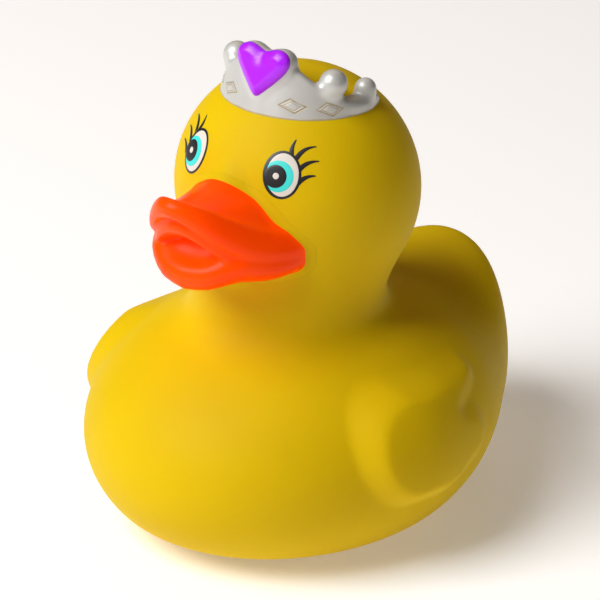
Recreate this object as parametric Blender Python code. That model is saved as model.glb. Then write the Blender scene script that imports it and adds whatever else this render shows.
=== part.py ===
"""A rubber bath duck in a tiara: one hollow soft-vinyl moulding with its painted details,
and the squeaker that is pressed into the hole in its base.

The duck faces -Y, its left wing is at +X, and its flat base stands at z = 0, with the
squeaker on the Z axis, which is also the middle of the duck's length and width.
Sizes are in millimetres here, and MM turns them into Blender's metres when a mesh is made.
Each soft form is a field: a function that is negative inside, zero on the surface and
grows outwards about as fast as the distance, so forms can be blended and hollowed.
"""

import math

import bmesh
import bpy
import numpy as np

MM = 0.001

# Body and tail, as two blended ovals cut flat below
BODY_HALF_WIDTH = 34.7
BODY_HALF_LENGTH = 39.4
BODY_HALF_HEIGHT = 23.2
BODY_CENTRE_HEIGHT = 17.3
BODY_FORWARD = 4.5
BODY_PITCH = math.radians(2.9)
TAIL_HALF_WIDTH = 17.6
TAIL_HALF_DEPTH = 7.5
TAIL_HALF_HEIGHT = 23.7
TAIL_SETBACK = 32.9
TAIL_CENTRE_HEIGHT = 17.2
TAIL_LEAN = math.radians(-37.0)
TAIL_BLEND = 14.2
BASE_ROUNDING = 6.0

# Head, sunk a little into the body's top, and a short neck that fills the throat
HEAD_HALF_WIDTH = 21.8
HEAD_HALF_LENGTH = 20.1
HEAD_HALF_HEIGHT = 21.2
HEAD_SINK = 2.1
HEAD_SETBACK = 1.3
NECK_HALF_WIDTH = 13.8
NECK_HALF_LENGTH = 12.8
NECK_HALF_HEIGHT = 10.0
NECK_FORWARD = 5.5
NECK_BLEND = 9.0

# Wings, as a raised mitten on each side, given back from the body's middle and up from the base
WING_RELIEF = 2.6
WING_EDGE = 4.0
WING_NOTCH_BLEND = 0.6
WING_PALM_BLEND = 2.5
WING_FADE_SHARE = 0.6
WING_FADE_START = -8.1
WING_FADE_LENGTH = 16.0
WING_SIDE_START = 12.0
WING_SIDE_RUN = 6.0
WING_PALM_FRONT = (-9.1, 22.6, 10.8)
WING_PALM_BACK = (-2.1, 21.2, 9.4)
WING_TIP_ROOT = (-7.1, 26.6, 6.4)
WING_TIP_END = (10.7, 29.2, 3.4)
WING_LOBE_ROOT = (-3.1, 19.4, 7.2)
WING_LOBE_END = (6.3, 19.8, 6.0)

# Upper bill: a roof with a rolled rim, crest high in front and low at the corners
BILL_HALF_WIDTH = 12.9
BILL_REACH = 20.2
BILL_SETBACK = 14.4
BILL_ROOT = 8.0
RIM_RADIUS = 1.6
RIM_MEAN_HEIGHT = 0.75
RIM_SWING = 4.95
RIM_FULLNESS = 0.5
RIM_SPAN = 14.5
ROOF_INSET = 2.0
ROOF_FALL = 0.3
ROOF_FALL_RUN = 6.0
ROOF_DROP = 0.4
ROOF_HALF_THICKNESS = 1.0
ROOF_BLEND = 1.5
BRIDGE_SETBACK = 17.4
BRIDGE_RISE = 0.5
BRIDGE_HALF_WIDTH = 7.0
BRIDGE_HALF_LENGTH = 9.0
BRIDGE_HALF_HEIGHT = 4.7
BRIDGE_BLEND = 4.5
PALATE_SETBACK = 19.4
PALATE_HALF_WIDTH = 10.6
PALATE_REACH = 13.0
PALATE_HALF_HEIGHT = 3.8
PALATE_BLEND = 1.2

# Lower bill: a spoon with a thick lip
JAW_HALF_WIDTH = 12.0
JAW_HALF_LENGTH = 12.2
JAW_HALF_HEIGHT = 4.0
JAW_SETBACK = 17.4
JAW_DROP = 6.2
LIP_RADIUS = 2.3
LIP_END_RADIUS = 1.5
LIP_BLEND = 2.5
LIP_ROUTE = (
    (0.0, -29.4, -7.4),
    (3.5, -29.0, -6.9),
    (6.3, -27.6, -5.6),
    (8.4, -25.4, -4.7),
    (10.2, -21.9, -5.6),
    (11.4, -17.9, -6.0),
    (11.6, -13.4, -5.7),
)
DISH_SETBACK = 30.6
DISH_DROP = 2.1
DISH_HALF_WIDTH = 7.6
DISH_DEPTH = 3.2
DISH_HALF_HEIGHT = 3.7
DISH_PITCH = 0.15
DISH_EDGE = 1.2
MOUTH_CREASE = 0.6

# Tiara: a leaning band round the front of the head, with four beads and a heart
TIARA_SEAT = 17.2
TIARA_TILT = math.radians(0.5)
TIARA_WALL = 1.6
TIARA_LEAN = math.radians(16.0)
TIARA_END = math.radians(124.0)
TIARA_FOOT = 3.2
TIARA_ROUNDING = 0.5
TIARA_STATIONS = 47
TIARA_EDGE = (
    (0.0, 6.8),
    (34.0, 6.8),
    (44.0, 5.4),
    (55.0, 3.8),
    (66.0, 2.4),
    (80.0, 1.2),
    (96.0, 0.7),
    (112.0, 0.7),
    (124.0, 0.1),
)
BEAD_1_ANGLE = math.radians(65.5)
BEAD_1_HEIGHT = 4.6
BEAD_1_RADIUS = 2.4
BEAD_2_ANGLE = math.radians(104.0)
BEAD_2_HEIGHT = 2.1
BEAD_2_RADIUS = 1.85
HEART_TIP_HEIGHT = 1.7
HEART_HALF_OUTLINE = (
    (0.0, 0.0),
    (0.5, 0.12),
    (1.1, 0.6),
    (2.4, 2.0),
    (3.8, 3.6),
    (4.8, 4.9),
    (5.3, 6.0),
    (5.35, 6.9),
    (4.95, 7.8),
    (4.1, 8.4),
    (3.1, 8.65),
    (2.1, 8.5),
    (1.2, 8.15),
    (0.5, 7.9),
    (0.0, 7.8),
)
HEART_BORDER = 0.35
HEART_BACK_THICKNESS = 3.3
HEART_BACK_EDGE = 0.8
HEART_SEAT = 0.2
HEART_PUFF = 1.0
HEART_PUFF_RUN = 2.2
HEART_PUFF_START = 0.25
HEART_EDGE = 0.6

# Eyes, as fields of ink on the head
EYE_AZIMUTH = math.radians(29.5)
EYE_ELEVATION = math.radians(25.0)
EYE_HALF_WIDTH = 3.3
EYE_HALF_HEIGHT = 4.1
EYE_SHIFT = (0.2, -0.1)
WHITE_HALF_WIDTH = 2.75
WHITE_HALF_HEIGHT = 3.65
WHITE_SHIFT = (0.3, -0.1)
IRIS_RADIUS = 2.65
IRIS_SHIFT = (-0.42, -0.39)
PUPIL_RADIUS = 1.93
PUPIL_SHIFT = (-0.88, -0.43)
GLINT_RADIUS = 0.54
GLINT_SHIFT = (-0.76, -0.37)
INK_STEP = 0.07
INK_INSET_STEP = 0.015
LASH_INK_HEIGHT = 0.11
OVAL_CORNERS = 18
GLINT_CORNERS = 10
INK_ROOT = 0.6
INK_ROOT_STEP = 0.15
LASHES = (
    ((1.6, 3.5), (2.0, 6.0), 0.25),
    ((2.6, 3.0), (5.4, 5.2), 0.45),
    ((3.4, 1.1), (6.1, 2.7), 0.40),
    ((3.4, -1.1), (5.7, 0.2), 0.30),
)
LASH_WIDTH = 0.6
LASH_TAPER = 0.85
LASH_STATIONS = 5

# Shell wall, and the hole and recess in the base for the squeaker
WALL = 2.0
RECESS_RADIUS = 9.4
RECESS_DEPTH = 1.5
BORE_RADIUS = 7.4
FIT_GAP = 0.3

# Squeaker: a flanged housing, a reed block inside it and a thin reed
HOUSING_WALL = 1.2
HOUSING_HEIGHT = 11.0
FLANGE_THICKNESS = 0.9
AIR_HOLE_RADIUS = 1.3
BLOCK_HEIGHT = 7.0
CHANNEL_WIDTH = 3.8
CHANNEL_DEPTH = 2.4
REED_THICKNESS = 0.4
REED_LENGTH = 6.2

# A field that is sheared downhill grows faster than the distance, and this slows it
DROOP_EASE = 0.85

# Mesh cell of each form, and the room left round a form in its grid
BODY_CELL = 3.6
BILL_CELL = 1.35
HEART_CELL = 1.4
CAVITY_CELL = 7.0
GRID_MARGIN = 4.0
BILL_GRID_HALF_HEIGHT = 14.0

# Places that follow from the sizes
BODY_CENTRE = (0.0, -BODY_FORWARD, BODY_CENTRE_HEIGHT)
TAIL_CENTRE = (0.0, BODY_CENTRE[1] + TAIL_SETBACK, TAIL_CENTRE_HEIGHT)
HEAD_CENTRE = (
    0.0,
    BODY_CENTRE[1] + HEAD_SETBACK,
    BODY_CENTRE_HEIGHT + BODY_HALF_HEIGHT + HEAD_HALF_HEIGHT - HEAD_SINK,
)
HEAD_HALVES = (HEAD_HALF_WIDTH, HEAD_HALF_LENGTH, HEAD_HALF_HEIGHT)
NECK_CENTRE = (0.0, HEAD_CENTRE[1] - NECK_FORWARD, BODY_CENTRE_HEIGHT + BODY_HALF_HEIGHT + HEAD_SINK)
TIARA_RING_RATIO = math.sqrt(1.0 - (TIARA_SEAT / HEAD_HALF_HEIGHT) ** 2)


def oval(points, centre, halves, pitch=0.0):
    """Field of an oval body; pitch turns it about the X axis."""
    offset = points - np.asarray(centre)
    if pitch:
        cosine, sine = math.cos(pitch), math.sin(pitch)
        across, along, up = offset[..., 0], offset[..., 1], offset[..., 2]
        offset = np.stack([across, cosine * along + sine * up, cosine * up - sine * along], axis=-1)
    halves = np.asarray(halves)
    near = np.linalg.norm(offset / halves, axis=-1)
    steep = np.linalg.norm(offset / halves**2, axis=-1)
    return near * (near - 1.0) / np.maximum(steep, 1e-9)


def join(first, second, blend):
    """Union of two fields, with a fillet about a quarter of the blend deep."""
    overlap = np.maximum(blend - np.abs(first - second), 0.0) / blend
    return np.minimum(first, second) - overlap**2 * blend / 4.0


def overlap_of(first, second, blend):
    """What two fields share, with the edge between them rounded."""
    return -join(-first, -second, blend)


def ease(share):
    """A smooth step from 0 to 1."""
    share = np.clip(share, 0.0, 1.0)
    return share**2 * (3.0 - 2.0 * share)


def finger(along, up, start, end):
    """Plan field of a tapered finger between two rounds, each given as (along, up, radius)."""
    run, rise = end[0] - start[0], end[1] - start[1]
    share = ((along - start[0]) * run + (up - start[1]) * rise) / (run**2 + rise**2)
    share = np.clip(share, 0.0, 1.0)
    radius = start[2] + (end[2] - start[2]) * share
    return np.hypot(along - start[0] - share * run, up - start[1] - share * rise) - radius


def wing_relief(points):
    """How far the wings stand out from the body's side."""
    along, up = points[..., 1] - BODY_CENTRE[1], points[..., 2]
    palm = finger(along, up, WING_PALM_FRONT, WING_PALM_BACK)
    tip = finger(along, up, WING_TIP_ROOT, WING_TIP_END)
    lobe = finger(along, up, WING_LOBE_ROOT, WING_LOBE_END)
    outline = join(palm, join(tip, lobe, WING_NOTCH_BLEND), WING_PALM_BLEND)
    fading = 1.0 - WING_FADE_SHARE * ease((along - WING_FADE_START) / WING_FADE_LENGTH)
    on_side = ease((np.abs(points[..., 0]) - WING_SIDE_START) / WING_SIDE_RUN)
    return WING_RELIEF * ease(-outline / WING_EDGE) * fading * on_side


def torso(points):
    """Body and tail, before the base is cut flat."""
    body = oval(points, BODY_CENTRE, (BODY_HALF_WIDTH, BODY_HALF_LENGTH, BODY_HALF_HEIGHT), BODY_PITCH)
    tail = oval(points, TAIL_CENTRE, (TAIL_HALF_WIDTH, TAIL_HALF_DEPTH, TAIL_HALF_HEIGHT), TAIL_LEAN)
    return join(body, tail, TAIL_BLEND)


def head(points):
    """The head alone."""
    return oval(points, HEAD_CENTRE, HEAD_HALVES)


def headed(torso_field, points):
    """Stand a torso on its flat base and give it the neck and the head."""
    based = overlap_of(torso_field, -points[..., 2], BASE_ROUNDING)
    neck = oval(points, NECK_CENTRE, (NECK_HALF_WIDTH, NECK_HALF_LENGTH, NECK_HALF_HEIGHT))
    return join(join(based, neck, NECK_BLEND), head(points), NECK_BLEND)


def plain_duck(points):
    """Body, tail, neck and head without wings, the form that the cavity follows."""
    return headed(torso(points), points)


def winged_duck(points):
    """The plain duck with its wings raised on it."""
    return headed(torso(points) - wing_relief(points), points)


def mirrored(points):
    """Points seen from the head's centre, with both sides folded onto +X."""
    offset = points - np.asarray(HEAD_CENTRE)
    offset[..., 0] = np.abs(offset[..., 0])
    return offset


def plan_oval(across, along, centre, half_width, half_length):
    """Field of an oval seen from above."""
    near = np.hypot(across / half_width, (along - centre) / half_length)
    steep = np.hypot(across / half_width**2, (along - centre) / half_length**2)
    return near * (near - 1.0) / np.maximum(steep, 1e-9)


def upper_bill(offset):
    """Roof, rolled rim, bridge and palate, from the head's centre."""
    across, along, up = offset[..., 0], offset[..., 1], offset[..., 2]
    edge = plan_oval(across, along, -BILL_SETBACK, BILL_HALF_WIDTH, BILL_REACH)
    turn = math.pi / RIM_SPAN
    angle = turn * np.minimum(across, RIM_SPAN)
    crest = RIM_MEAN_HEIGHT + RIM_SWING * np.cos(angle) + RIM_FULLNESS * np.sin(angle) ** 2
    slope = turn * np.sin(angle) * (RIM_SWING - 2.0 * RIM_FULLNESS * np.cos(angle))
    inward = np.clip(-edge - RIM_RADIUS, 0.0, ROOF_FALL_RUN)
    level = (up - crest + ROOF_FALL * inward) / np.sqrt(1.0 + slope**2)
    rim = np.hypot(edge + RIM_RADIUS, level) - RIM_RADIUS
    roof = overlap_of(edge + ROOF_INSET, np.abs(level + ROOF_DROP) - ROOF_HALF_THICKNESS, ROOF_BLEND)
    bridge_halves = (BRIDGE_HALF_WIDTH, BRIDGE_HALF_LENGTH, BRIDGE_HALF_HEIGHT)
    bridge = oval(offset, (0.0, -BRIDGE_SETBACK, BRIDGE_RISE), bridge_halves)
    drooped = np.stack([across, along, up - crest], axis=-1)
    palate_centre = (0.0, -PALATE_SETBACK, -PALATE_HALF_HEIGHT)
    palate_halves = (PALATE_HALF_WIDTH, PALATE_REACH, PALATE_HALF_HEIGHT)
    palate = DROOP_EASE * oval(drooped, palate_centre, palate_halves)
    roofed = join(join(rim, roof, ROOF_BLEND), bridge, BRIDGE_BLEND)
    return join(roofed, palate, PALATE_BLEND)


def route_field(offset, route, radius, end_radius):
    """Field of a round rod that tapers along a smooth route."""
    route = np.array(route)
    before = np.vstack([2.0 * route[0] - route[1], route[:-1]])
    after = np.vstack([route[1:], 2.0 * route[-1] - route[-2]])
    middles = (route[:-1] + route[1:]) / 2.0 + (before[:-1] + after[1:] - route[:-1] - route[1:]) * -0.0625
    stations = np.empty((2 * len(route) - 1, 3))
    stations[0::2] = route
    stations[1::2] = middles
    radii = np.linspace(radius, end_radius, len(stations))
    nearest = np.full(offset.shape[:-1], np.inf)
    for number, (start, end) in enumerate(zip(stations[:-1], stations[1:])):
        run = end - start
        share = np.clip(((offset - start) @ run) / (run @ run), 0.0, 1.0)
        reach = np.linalg.norm(offset - start - share[..., None] * run, axis=-1)
        thickness = radii[number] + (radii[number + 1] - radii[number]) * share
        nearest = np.minimum(nearest, reach - thickness)
    return nearest


def lower_bill(offset):
    """Jaw and its thick lip, hollowed by a shallow dish in front."""
    jaw = oval(offset, (0.0, -JAW_SETBACK, -JAW_DROP), (JAW_HALF_WIDTH, JAW_HALF_LENGTH, JAW_HALF_HEIGHT))
    lipped = join(jaw, route_field(offset, LIP_ROUTE, LIP_RADIUS, LIP_END_RADIUS), LIP_BLEND)
    dish_halves = (DISH_HALF_WIDTH, DISH_DEPTH, DISH_HALF_HEIGHT)
    dish = oval(offset, (0.0, -DISH_SETBACK, -DISH_DROP), dish_halves, DISH_PITCH)
    return overlap_of(lipped, -dish, DISH_EDGE)


def bill(points):
    """Both halves of the bill, closed behind the mouth's opening and ended inside the head."""
    offset = mirrored(points)
    whole = join(upper_bill(offset), lower_bill(offset), MOUTH_CREASE)
    return np.maximum(whole, offset[..., 1] + BILL_ROOT)


def tiara_frame(points):
    """Angle round the head from the front, radius and height, on the tilted tiara."""
    offset = points - np.asarray(HEAD_CENTRE)
    cosine, sine = math.cos(TIARA_TILT), math.sin(TIARA_TILT)
    across = offset[..., 0]
    forward = -cosine * offset[..., 1] + sine * offset[..., 2]
    up = sine * offset[..., 1] + cosine * offset[..., 2] - TIARA_SEAT
    return across, forward, up


def ring_radii():
    """Radii of the band's middle where it meets the head, across and forward."""
    return HEAD_HALF_WIDTH * TIARA_RING_RATIO, HEAD_HALF_LENGTH * TIARA_RING_RATIO


def tiara_points(across, forward, up):
    """Places in the duck's frame of points given on the tilted tiara."""
    cosine, sine = math.cos(TIARA_TILT), math.sin(TIARA_TILT)
    risen = up + TIARA_SEAT
    offset = np.stack([across, sine * risen - cosine * forward, sine * forward + cosine * risen], axis=-1)
    return offset + np.asarray(HEAD_CENTRE)


def heart_frame(points):
    """Across, up the lean and out of the heart's face."""
    across, forward, up = tiara_frame(points)
    _, deep = ring_radii()
    cosine, sine = math.cos(TIARA_LEAN), math.sin(TIARA_LEAN)
    outward = cosine * (forward - deep) + sine * up
    along_face = cosine * up - sine * (forward - deep)
    return np.abs(across), along_face, outward


def heart_outline(across, along_face):
    """Plan field of the heart, from the half outline that runs from its tip to its notch."""
    nearest = np.full(across.shape, np.inf)
    inside = np.zeros(across.shape, dtype=bool)
    for (side, height), (next_side, next_height) in zip(HEART_HALF_OUTLINE[:-1], HEART_HALF_OUTLINE[1:]):
        run, rise = next_side - side, next_height - height
        up = along_face - HEART_TIP_HEIGHT - height
        share = np.clip(((across - side) * run + up * rise) / (run**2 + rise**2), 0.0, 1.0)
        nearest = np.minimum(nearest, np.hypot(across - side - share * run, up - share * rise))
        inside ^= ((up < 0.0) != (up < rise)) & (across < side + up * run / rise)
    return np.where(inside, -nearest, nearest)


def heart_back(points):
    """The thick silver heart behind the coloured one."""
    across, along_face, outward = heart_frame(points)
    outline = heart_outline(across, along_face) - HEART_BORDER
    front = outward - TIARA_WALL / 2.0 - HEART_SEAT
    back = -outward - HEART_BACK_THICKNESS + TIARA_WALL / 2.0
    return overlap_of(outline, np.maximum(front, back), HEART_BACK_EDGE)


def heart_jewel(points):
    """The puffed heart set on the silver one."""
    across, along_face, outward = heart_frame(points)
    outline = heart_outline(across, along_face)
    seat = TIARA_WALL / 2.0 + HEART_SEAT
    puffed = outward - seat - HEART_PUFF * ease(HEART_PUFF_START - outline / HEART_PUFF_RUN)
    return overlap_of(outline, np.maximum(puffed, -outward), HEART_EDGE)


def slope_of(field, points):
    """Gradient of a field, by small steps each way."""
    step = 0.02
    steps = np.eye(3) * step
    rises = [field(points + small) - field(points - small) for small in steps]
    return np.stack(rises, axis=-1) / (2.0 * step)


def settle(field, points):
    """Move points along the field's slope until they lie on its surface."""
    for _ in range(6):
        slope = slope_of(field, points)
        size = np.maximum((slope**2).sum(axis=-1), 0.2)
        points = points - np.clip(field(points) / size, -1.5, 1.5)[:, None] * slope
    return points


def firm_up(inside):
    """Fill grid points until no two filled ones meet only across a square's diagonal."""
    filled = -1
    while inside.sum() != filled:
        filled = inside.sum()
        for view in (inside, np.moveaxis(inside, 0, 2), np.moveaxis(inside, 1, 2)):
            near, far = view[:-1, :-1], view[1:, 1:]
            left, right = view[1:, :-1], view[:-1, 1:]
            left |= near & far & ~right
            near |= left & right & ~far


def surface_cells(field, low, high, cell):
    """Grid cells that the surface crosses, and the quads that join their middles."""
    low, high = np.asarray(low), np.asarray(high)
    counts = np.ceil((high - low) / cell).astype(int) + 1
    lines = [low[axis] + cell * np.arange(counts[axis]) for axis in range(3)]
    inside = field(np.stack(np.meshgrid(*lines, indexing="ij"), axis=-1)) < 0.0
    firm_up(inside)
    corners = sum(
        inside[i : counts[0] - 1 + i, j : counts[1] - 1 + j, k : counts[2] - 1 + k].astype(int)
        for i in (0, 1)
        for j in (0, 1)
        for k in (0, 1)
    )
    crossed = (corners > 0) & (corners < 8)
    number = np.full(crossed.shape, -1)
    number[crossed] = np.arange(crossed.sum())
    middles = low + cell * (np.argwhere(crossed) + 0.5)
    quads = []
    for axis in range(3):
        first, second = (axis + 1) % 3, (axis + 2) % 3
        near = np.moveaxis(inside, axis, 0)[:-1]
        far = np.moveaxis(inside, axis, 0)[1:]
        for place in np.argwhere(near != far):
            start = np.empty(3, dtype=int)
            others = [a for a in range(3) if a != axis]
            start[axis], start[others[0]], start[others[1]] = place
            ring = []
            for back_first, back_second in ((1, 1), (0, 1), (0, 0), (1, 0)):
                spot = start.copy()
                spot[first] -= back_first
                spot[second] -= back_second
                ring.append(int(number[tuple(spot)]))
            leaves_along_axis = near[tuple(place)]
            quads.append(ring if leaves_along_axis else ring[::-1])
    return middles, quads


def relax(points, quads):
    """Draw each point towards the middle of its neighbours, which evens the quads out."""
    total = np.zeros_like(points)
    count = np.zeros(len(points))
    corners = np.array(quads)
    for turn in range(4):
        here, there = corners[:, turn], corners[:, (turn + 1) % 4]
        np.add.at(total, here, points[there])
        np.add.at(total, there, points[here])
        np.add.at(count, here, 1)
        np.add.at(count, there, 1)
    return points + 0.5 * (total / count[:, None] - points)


def add_mesh(name, points, faces, material):
    """A new object from points in millimetres, with its faces split into triangles."""
    mesh = bpy.data.meshes.new(name)
    mesh.from_pydata((np.asarray(points) * MM).tolist(), [], [list(face) for face in faces])
    work = bmesh.new()
    work.from_mesh(mesh)
    bmesh.ops.triangulate(work, faces=work.faces, quad_method="SHORT_EDGE")
    bmesh.ops.recalc_face_normals(work, faces=work.faces)
    work.to_mesh(mesh)
    work.free()
    mesh.materials.append(material)
    item = bpy.data.objects.new(name, mesh)
    bpy.context.scene.collection.objects.link(item)
    mesh.shade_smooth()
    mesh.set_sharp_from_angle(angle=math.radians(40.0))
    return item


def skin(name, field, low, high, cell, material):
    """Mesh of a field's surface, evened out and settled on it."""
    points, quads = surface_cells(field, low, high, cell)
    points = settle(field, points)
    for _ in range(3):
        points = settle(field, relax(points, quads))
    return add_mesh(name, points, quads, material)


def make_material(name, colour, roughness):
    """A plain painted or moulded finish."""
    material = bpy.data.materials.new(name)
    material.use_nodes = True
    shader = material.node_tree.nodes["Principled BSDF"]
    shader.inputs["Base Color"].default_value = (*colour, 1.0)
    shader.inputs["Roughness"].default_value = roughness
    material.diffuse_color = (*colour, 1.0)
    return material


def as_guide(item):
    """Keep an object as a Boolean's operand only."""
    item.hide_render = True
    item.display_type = "WIRE"
    return item


def apply_boolean(target, operation, name, operands):
    """Put a Boolean with a collection of operands on the target."""
    collection = bpy.data.collections.new(name)
    for operand in operands:
        collection.objects.link(as_guide(operand))
    modifier = target.modifiers.new(name, "BOOLEAN")
    modifier.operation = operation
    modifier.solver = "EXACT"
    modifier.operand_type = "COLLECTION"
    modifier.collection = collection
    modifier.material_mode = "TRANSFER"


def make_band(material):
    """The tiara's leaning band with its waved upper edge, from stations round the head."""
    wide, deep = ring_radii()
    angles = np.linspace(-TIARA_END, TIARA_END, TIARA_STATIONS)
    edge_angles = np.radians([angle for angle, _ in TIARA_EDGE])
    tops = np.interp(np.abs(angles), edge_angles, [height for _, height in TIARA_EDGE])
    half = TIARA_WALL / 2.0
    flat = half - TIARA_ROUNDING
    profile = (
        (half, np.full_like(tops, -TIARA_FOOT)),
        (half, tops - TIARA_ROUNDING),
        (flat, tops),
        (-flat, tops),
        (-half, tops - TIARA_ROUNDING),
        (-half, np.full_like(tops, -TIARA_FOOT)),
    )
    lines = []
    for offset, heights in profile:
        radii = deep + offset - math.tan(TIARA_LEAN) * heights
        across = radii * np.sin(angles) * wide / deep
        lines.append(tiara_points(across, radii * np.cos(angles), heights))
    points = np.stack(lines, axis=1).reshape(-1, 3)
    count = len(profile)
    faces = [list(range(count)), list(range(len(points) - 1, len(points) - 1 - count, -1))]
    for station in range(TIARA_STATIONS - 1):
        near, far = station * count, (station + 1) * count
        for here in range(count):
            there = (here + 1) % count
            faces.append([near + here, far + here, far + there, near + there])
    return add_mesh("tiara_band", points, faces, material)


def make_bead(name, side, angle, height, radius, material):
    """One round bead on the band."""
    wide, deep = ring_radii()
    ring = deep - math.tan(TIARA_LEAN) * height
    centre = tiara_points(side * ring * wide / deep * math.sin(angle), ring * math.cos(angle), height)
    bpy.ops.mesh.primitive_uv_sphere_add(segments=14, ring_count=8, radius=radius * MM, location=centre * MM)
    item = bpy.context.object
    item.name = name
    item.data.shade_smooth()
    item.data.materials.append(material)
    return item


def eye_frame(side):
    """Centre of an eye on the head, its outward direction, and the directions across and up."""
    aim = np.array(
        [
            side * math.sin(EYE_AZIMUTH) * math.cos(EYE_ELEVATION),
            -math.cos(EYE_AZIMUTH) * math.cos(EYE_ELEVATION),
            math.sin(EYE_ELEVATION),
        ]
    )
    centre = aim / np.linalg.norm(aim / np.asarray(HEAD_HALVES))
    outward = centre / np.asarray(HEAD_HALVES) ** 2
    outward /= np.linalg.norm(outward)
    upward = np.array([0.0, 0.0, 1.0]) - outward * outward[2]
    upward /= np.linalg.norm(upward)
    across = np.cross(upward, outward)
    return centre + np.asarray(HEAD_CENTRE), outward, across * math.copysign(1.0, across[0]), upward


def print_patch(name, points, cap, rim_count, side, height, root, material):
    """A raised field of ink: plan points with the outline first, and the faces of its cap."""
    centre, outward, across, upward = eye_frame(side)
    spread = centre + points[:, :1] * across + points[:, 1:] * upward
    on_head = settle(head, spread)
    size = len(points)
    faces = [list(face) for face in cap] + [[size + corner for corner in face[::-1]] for face in cap]
    for step in range(rim_count):
        onward = (step + 1) % rim_count
        faces.append([step, onward, size + onward, size + step])
    layers = np.concatenate([on_head + height * outward, on_head - root * outward])
    return add_mesh(name, layers, faces, material)


def oval_patch(shift, half_width, half_height, inset, count):
    """Points and cap faces of an oval field, held inside the eye's white where an inset is given."""
    turns = np.arange(count) * 2.0 * math.pi / count
    outline = np.stack([np.cos(turns) * half_width, np.sin(turns) * half_height], axis=-1) + np.asarray(shift)
    if inset:
        limits = np.array([WHITE_HALF_WIDTH, WHITE_HALF_HEIGHT]) * (1.0 - inset)
        outline -= WHITE_SHIFT
        reach = np.linalg.norm(outline / limits, axis=-1)
        outline /= np.maximum(reach, 1.0)[:, None]
        outline += WHITE_SHIFT
    middle = outline.mean(axis=0)
    points = np.concatenate([outline, (outline + middle) / 2.0, [middle]])
    cap = []
    for step in range(count):
        onward = (step + 1) % count
        cap.append((step, onward, count + onward, count + step))
        cap.append((count + step, count + onward, 2 * count))
    return points, cap


def lash_patch(root, tip, bulge, side):
    """Points and cap faces of one tapered, curved lash."""
    root, tip = np.asarray(root), np.asarray(tip)
    along = tip - root
    sideways = np.array([-along[1], along[0]]) / np.linalg.norm(along)
    shares = np.linspace(0.0, 1.0, LASH_STATIONS)
    spine = root + shares[:, None] * along + (4.0 * bulge * shares * (1.0 - shares))[:, None] * sideways
    widths = LASH_WIDTH / 2.0 * (1.0 - LASH_TAPER * shares)
    edges = [spine + widths[:, None] * sideways, (spine - widths[:, None] * sideways)[::-1]]
    points = np.concatenate(edges) * np.array([side, 1.0])
    last = 2 * LASH_STATIONS - 1
    cap = [(step, step + 1, last - step - 1, last - step) for step in range(LASH_STATIONS - 1)]
    return points, cap


def make_eye(side, label, inks):
    """All the print of one eye; the pupils look the same way and the lashes are mirrored."""
    pieces = []
    fields = (
        ("outline", EYE_SHIFT, EYE_HALF_WIDTH, EYE_HALF_HEIGHT, False, OVAL_CORNERS, "black"),
        ("white", WHITE_SHIFT, WHITE_HALF_WIDTH, WHITE_HALF_HEIGHT, False, OVAL_CORNERS, "white"),
        ("iris", IRIS_SHIFT, IRIS_RADIUS, IRIS_RADIUS, True, OVAL_CORNERS, "turquoise"),
        ("pupil", PUPIL_SHIFT, PUPIL_RADIUS, PUPIL_RADIUS, True, OVAL_CORNERS, "black"),
        ("glint", GLINT_SHIFT, GLINT_RADIUS, GLINT_RADIUS, False, GLINT_CORNERS, "white"),
    )
    for level, (name, shift, half_width, half_height, held, count, ink) in enumerate(fields, start=1):
        inset = INK_INSET_STEP * level if held else 0.0
        points, cap = oval_patch(shift, half_width, half_height, inset, count)
        height, root = (level + 1) * INK_STEP, INK_ROOT + level * INK_ROOT_STEP
        pieces.append(print_patch(f"{label}_{name}", points, cap, count, side, height, root, inks[ink]))
    for number, (root, tip, bulge) in enumerate(LASHES, start=1):
        points, cap = lash_patch(root, tip, bulge, side)
        name = f"{label}_lash_{number}"
        lash = print_patch(name, points, cap, len(points), side, LASH_INK_HEIGHT, INK_ROOT, inks["black"])
        pieces.append(lash)
    return pieces


def turned(name, profile, material, steps=40):
    """A solid turned about the Z axis from a closed profile of (radius, height)."""
    points = []
    faces = []
    count = len(profile)
    for step in range(steps):
        angle = 2.0 * math.pi * step / steps
        points += [(r * math.cos(angle), r * math.sin(angle), z) for r, z in profile]
        onward = (step + 1) % steps
        for here in range(count):
            there = (here + 1) % count
            near, far = step * count, onward * count
            faces.append([near + here, far + here, far + there, near + there])
    return add_mesh(name, points, faces, material)


def disc(name, radius, low, high, material, steps=40):
    """A round rod standing on the Z axis."""
    bpy.ops.mesh.primitive_cylinder_add(
        vertices=steps,
        radius=radius * MM,
        depth=(high - low) * MM,
        location=(0.0, 0.0, (low + high) / 2.0 * MM),
    )
    item = bpy.context.object
    item.name = name
    item.data.materials.append(material)
    return item


def block(name, size, centre, material):
    """A box with its size and centre in millimetres."""
    bpy.ops.mesh.primitive_cube_add(size=1.0, location=[value * MM for value in centre])
    item = bpy.context.object
    item.name = name
    item.data.transform(np.diag([*(np.asarray(size) * MM), 1.0]).tolist())
    item.data.materials.append(material)
    return item


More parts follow.
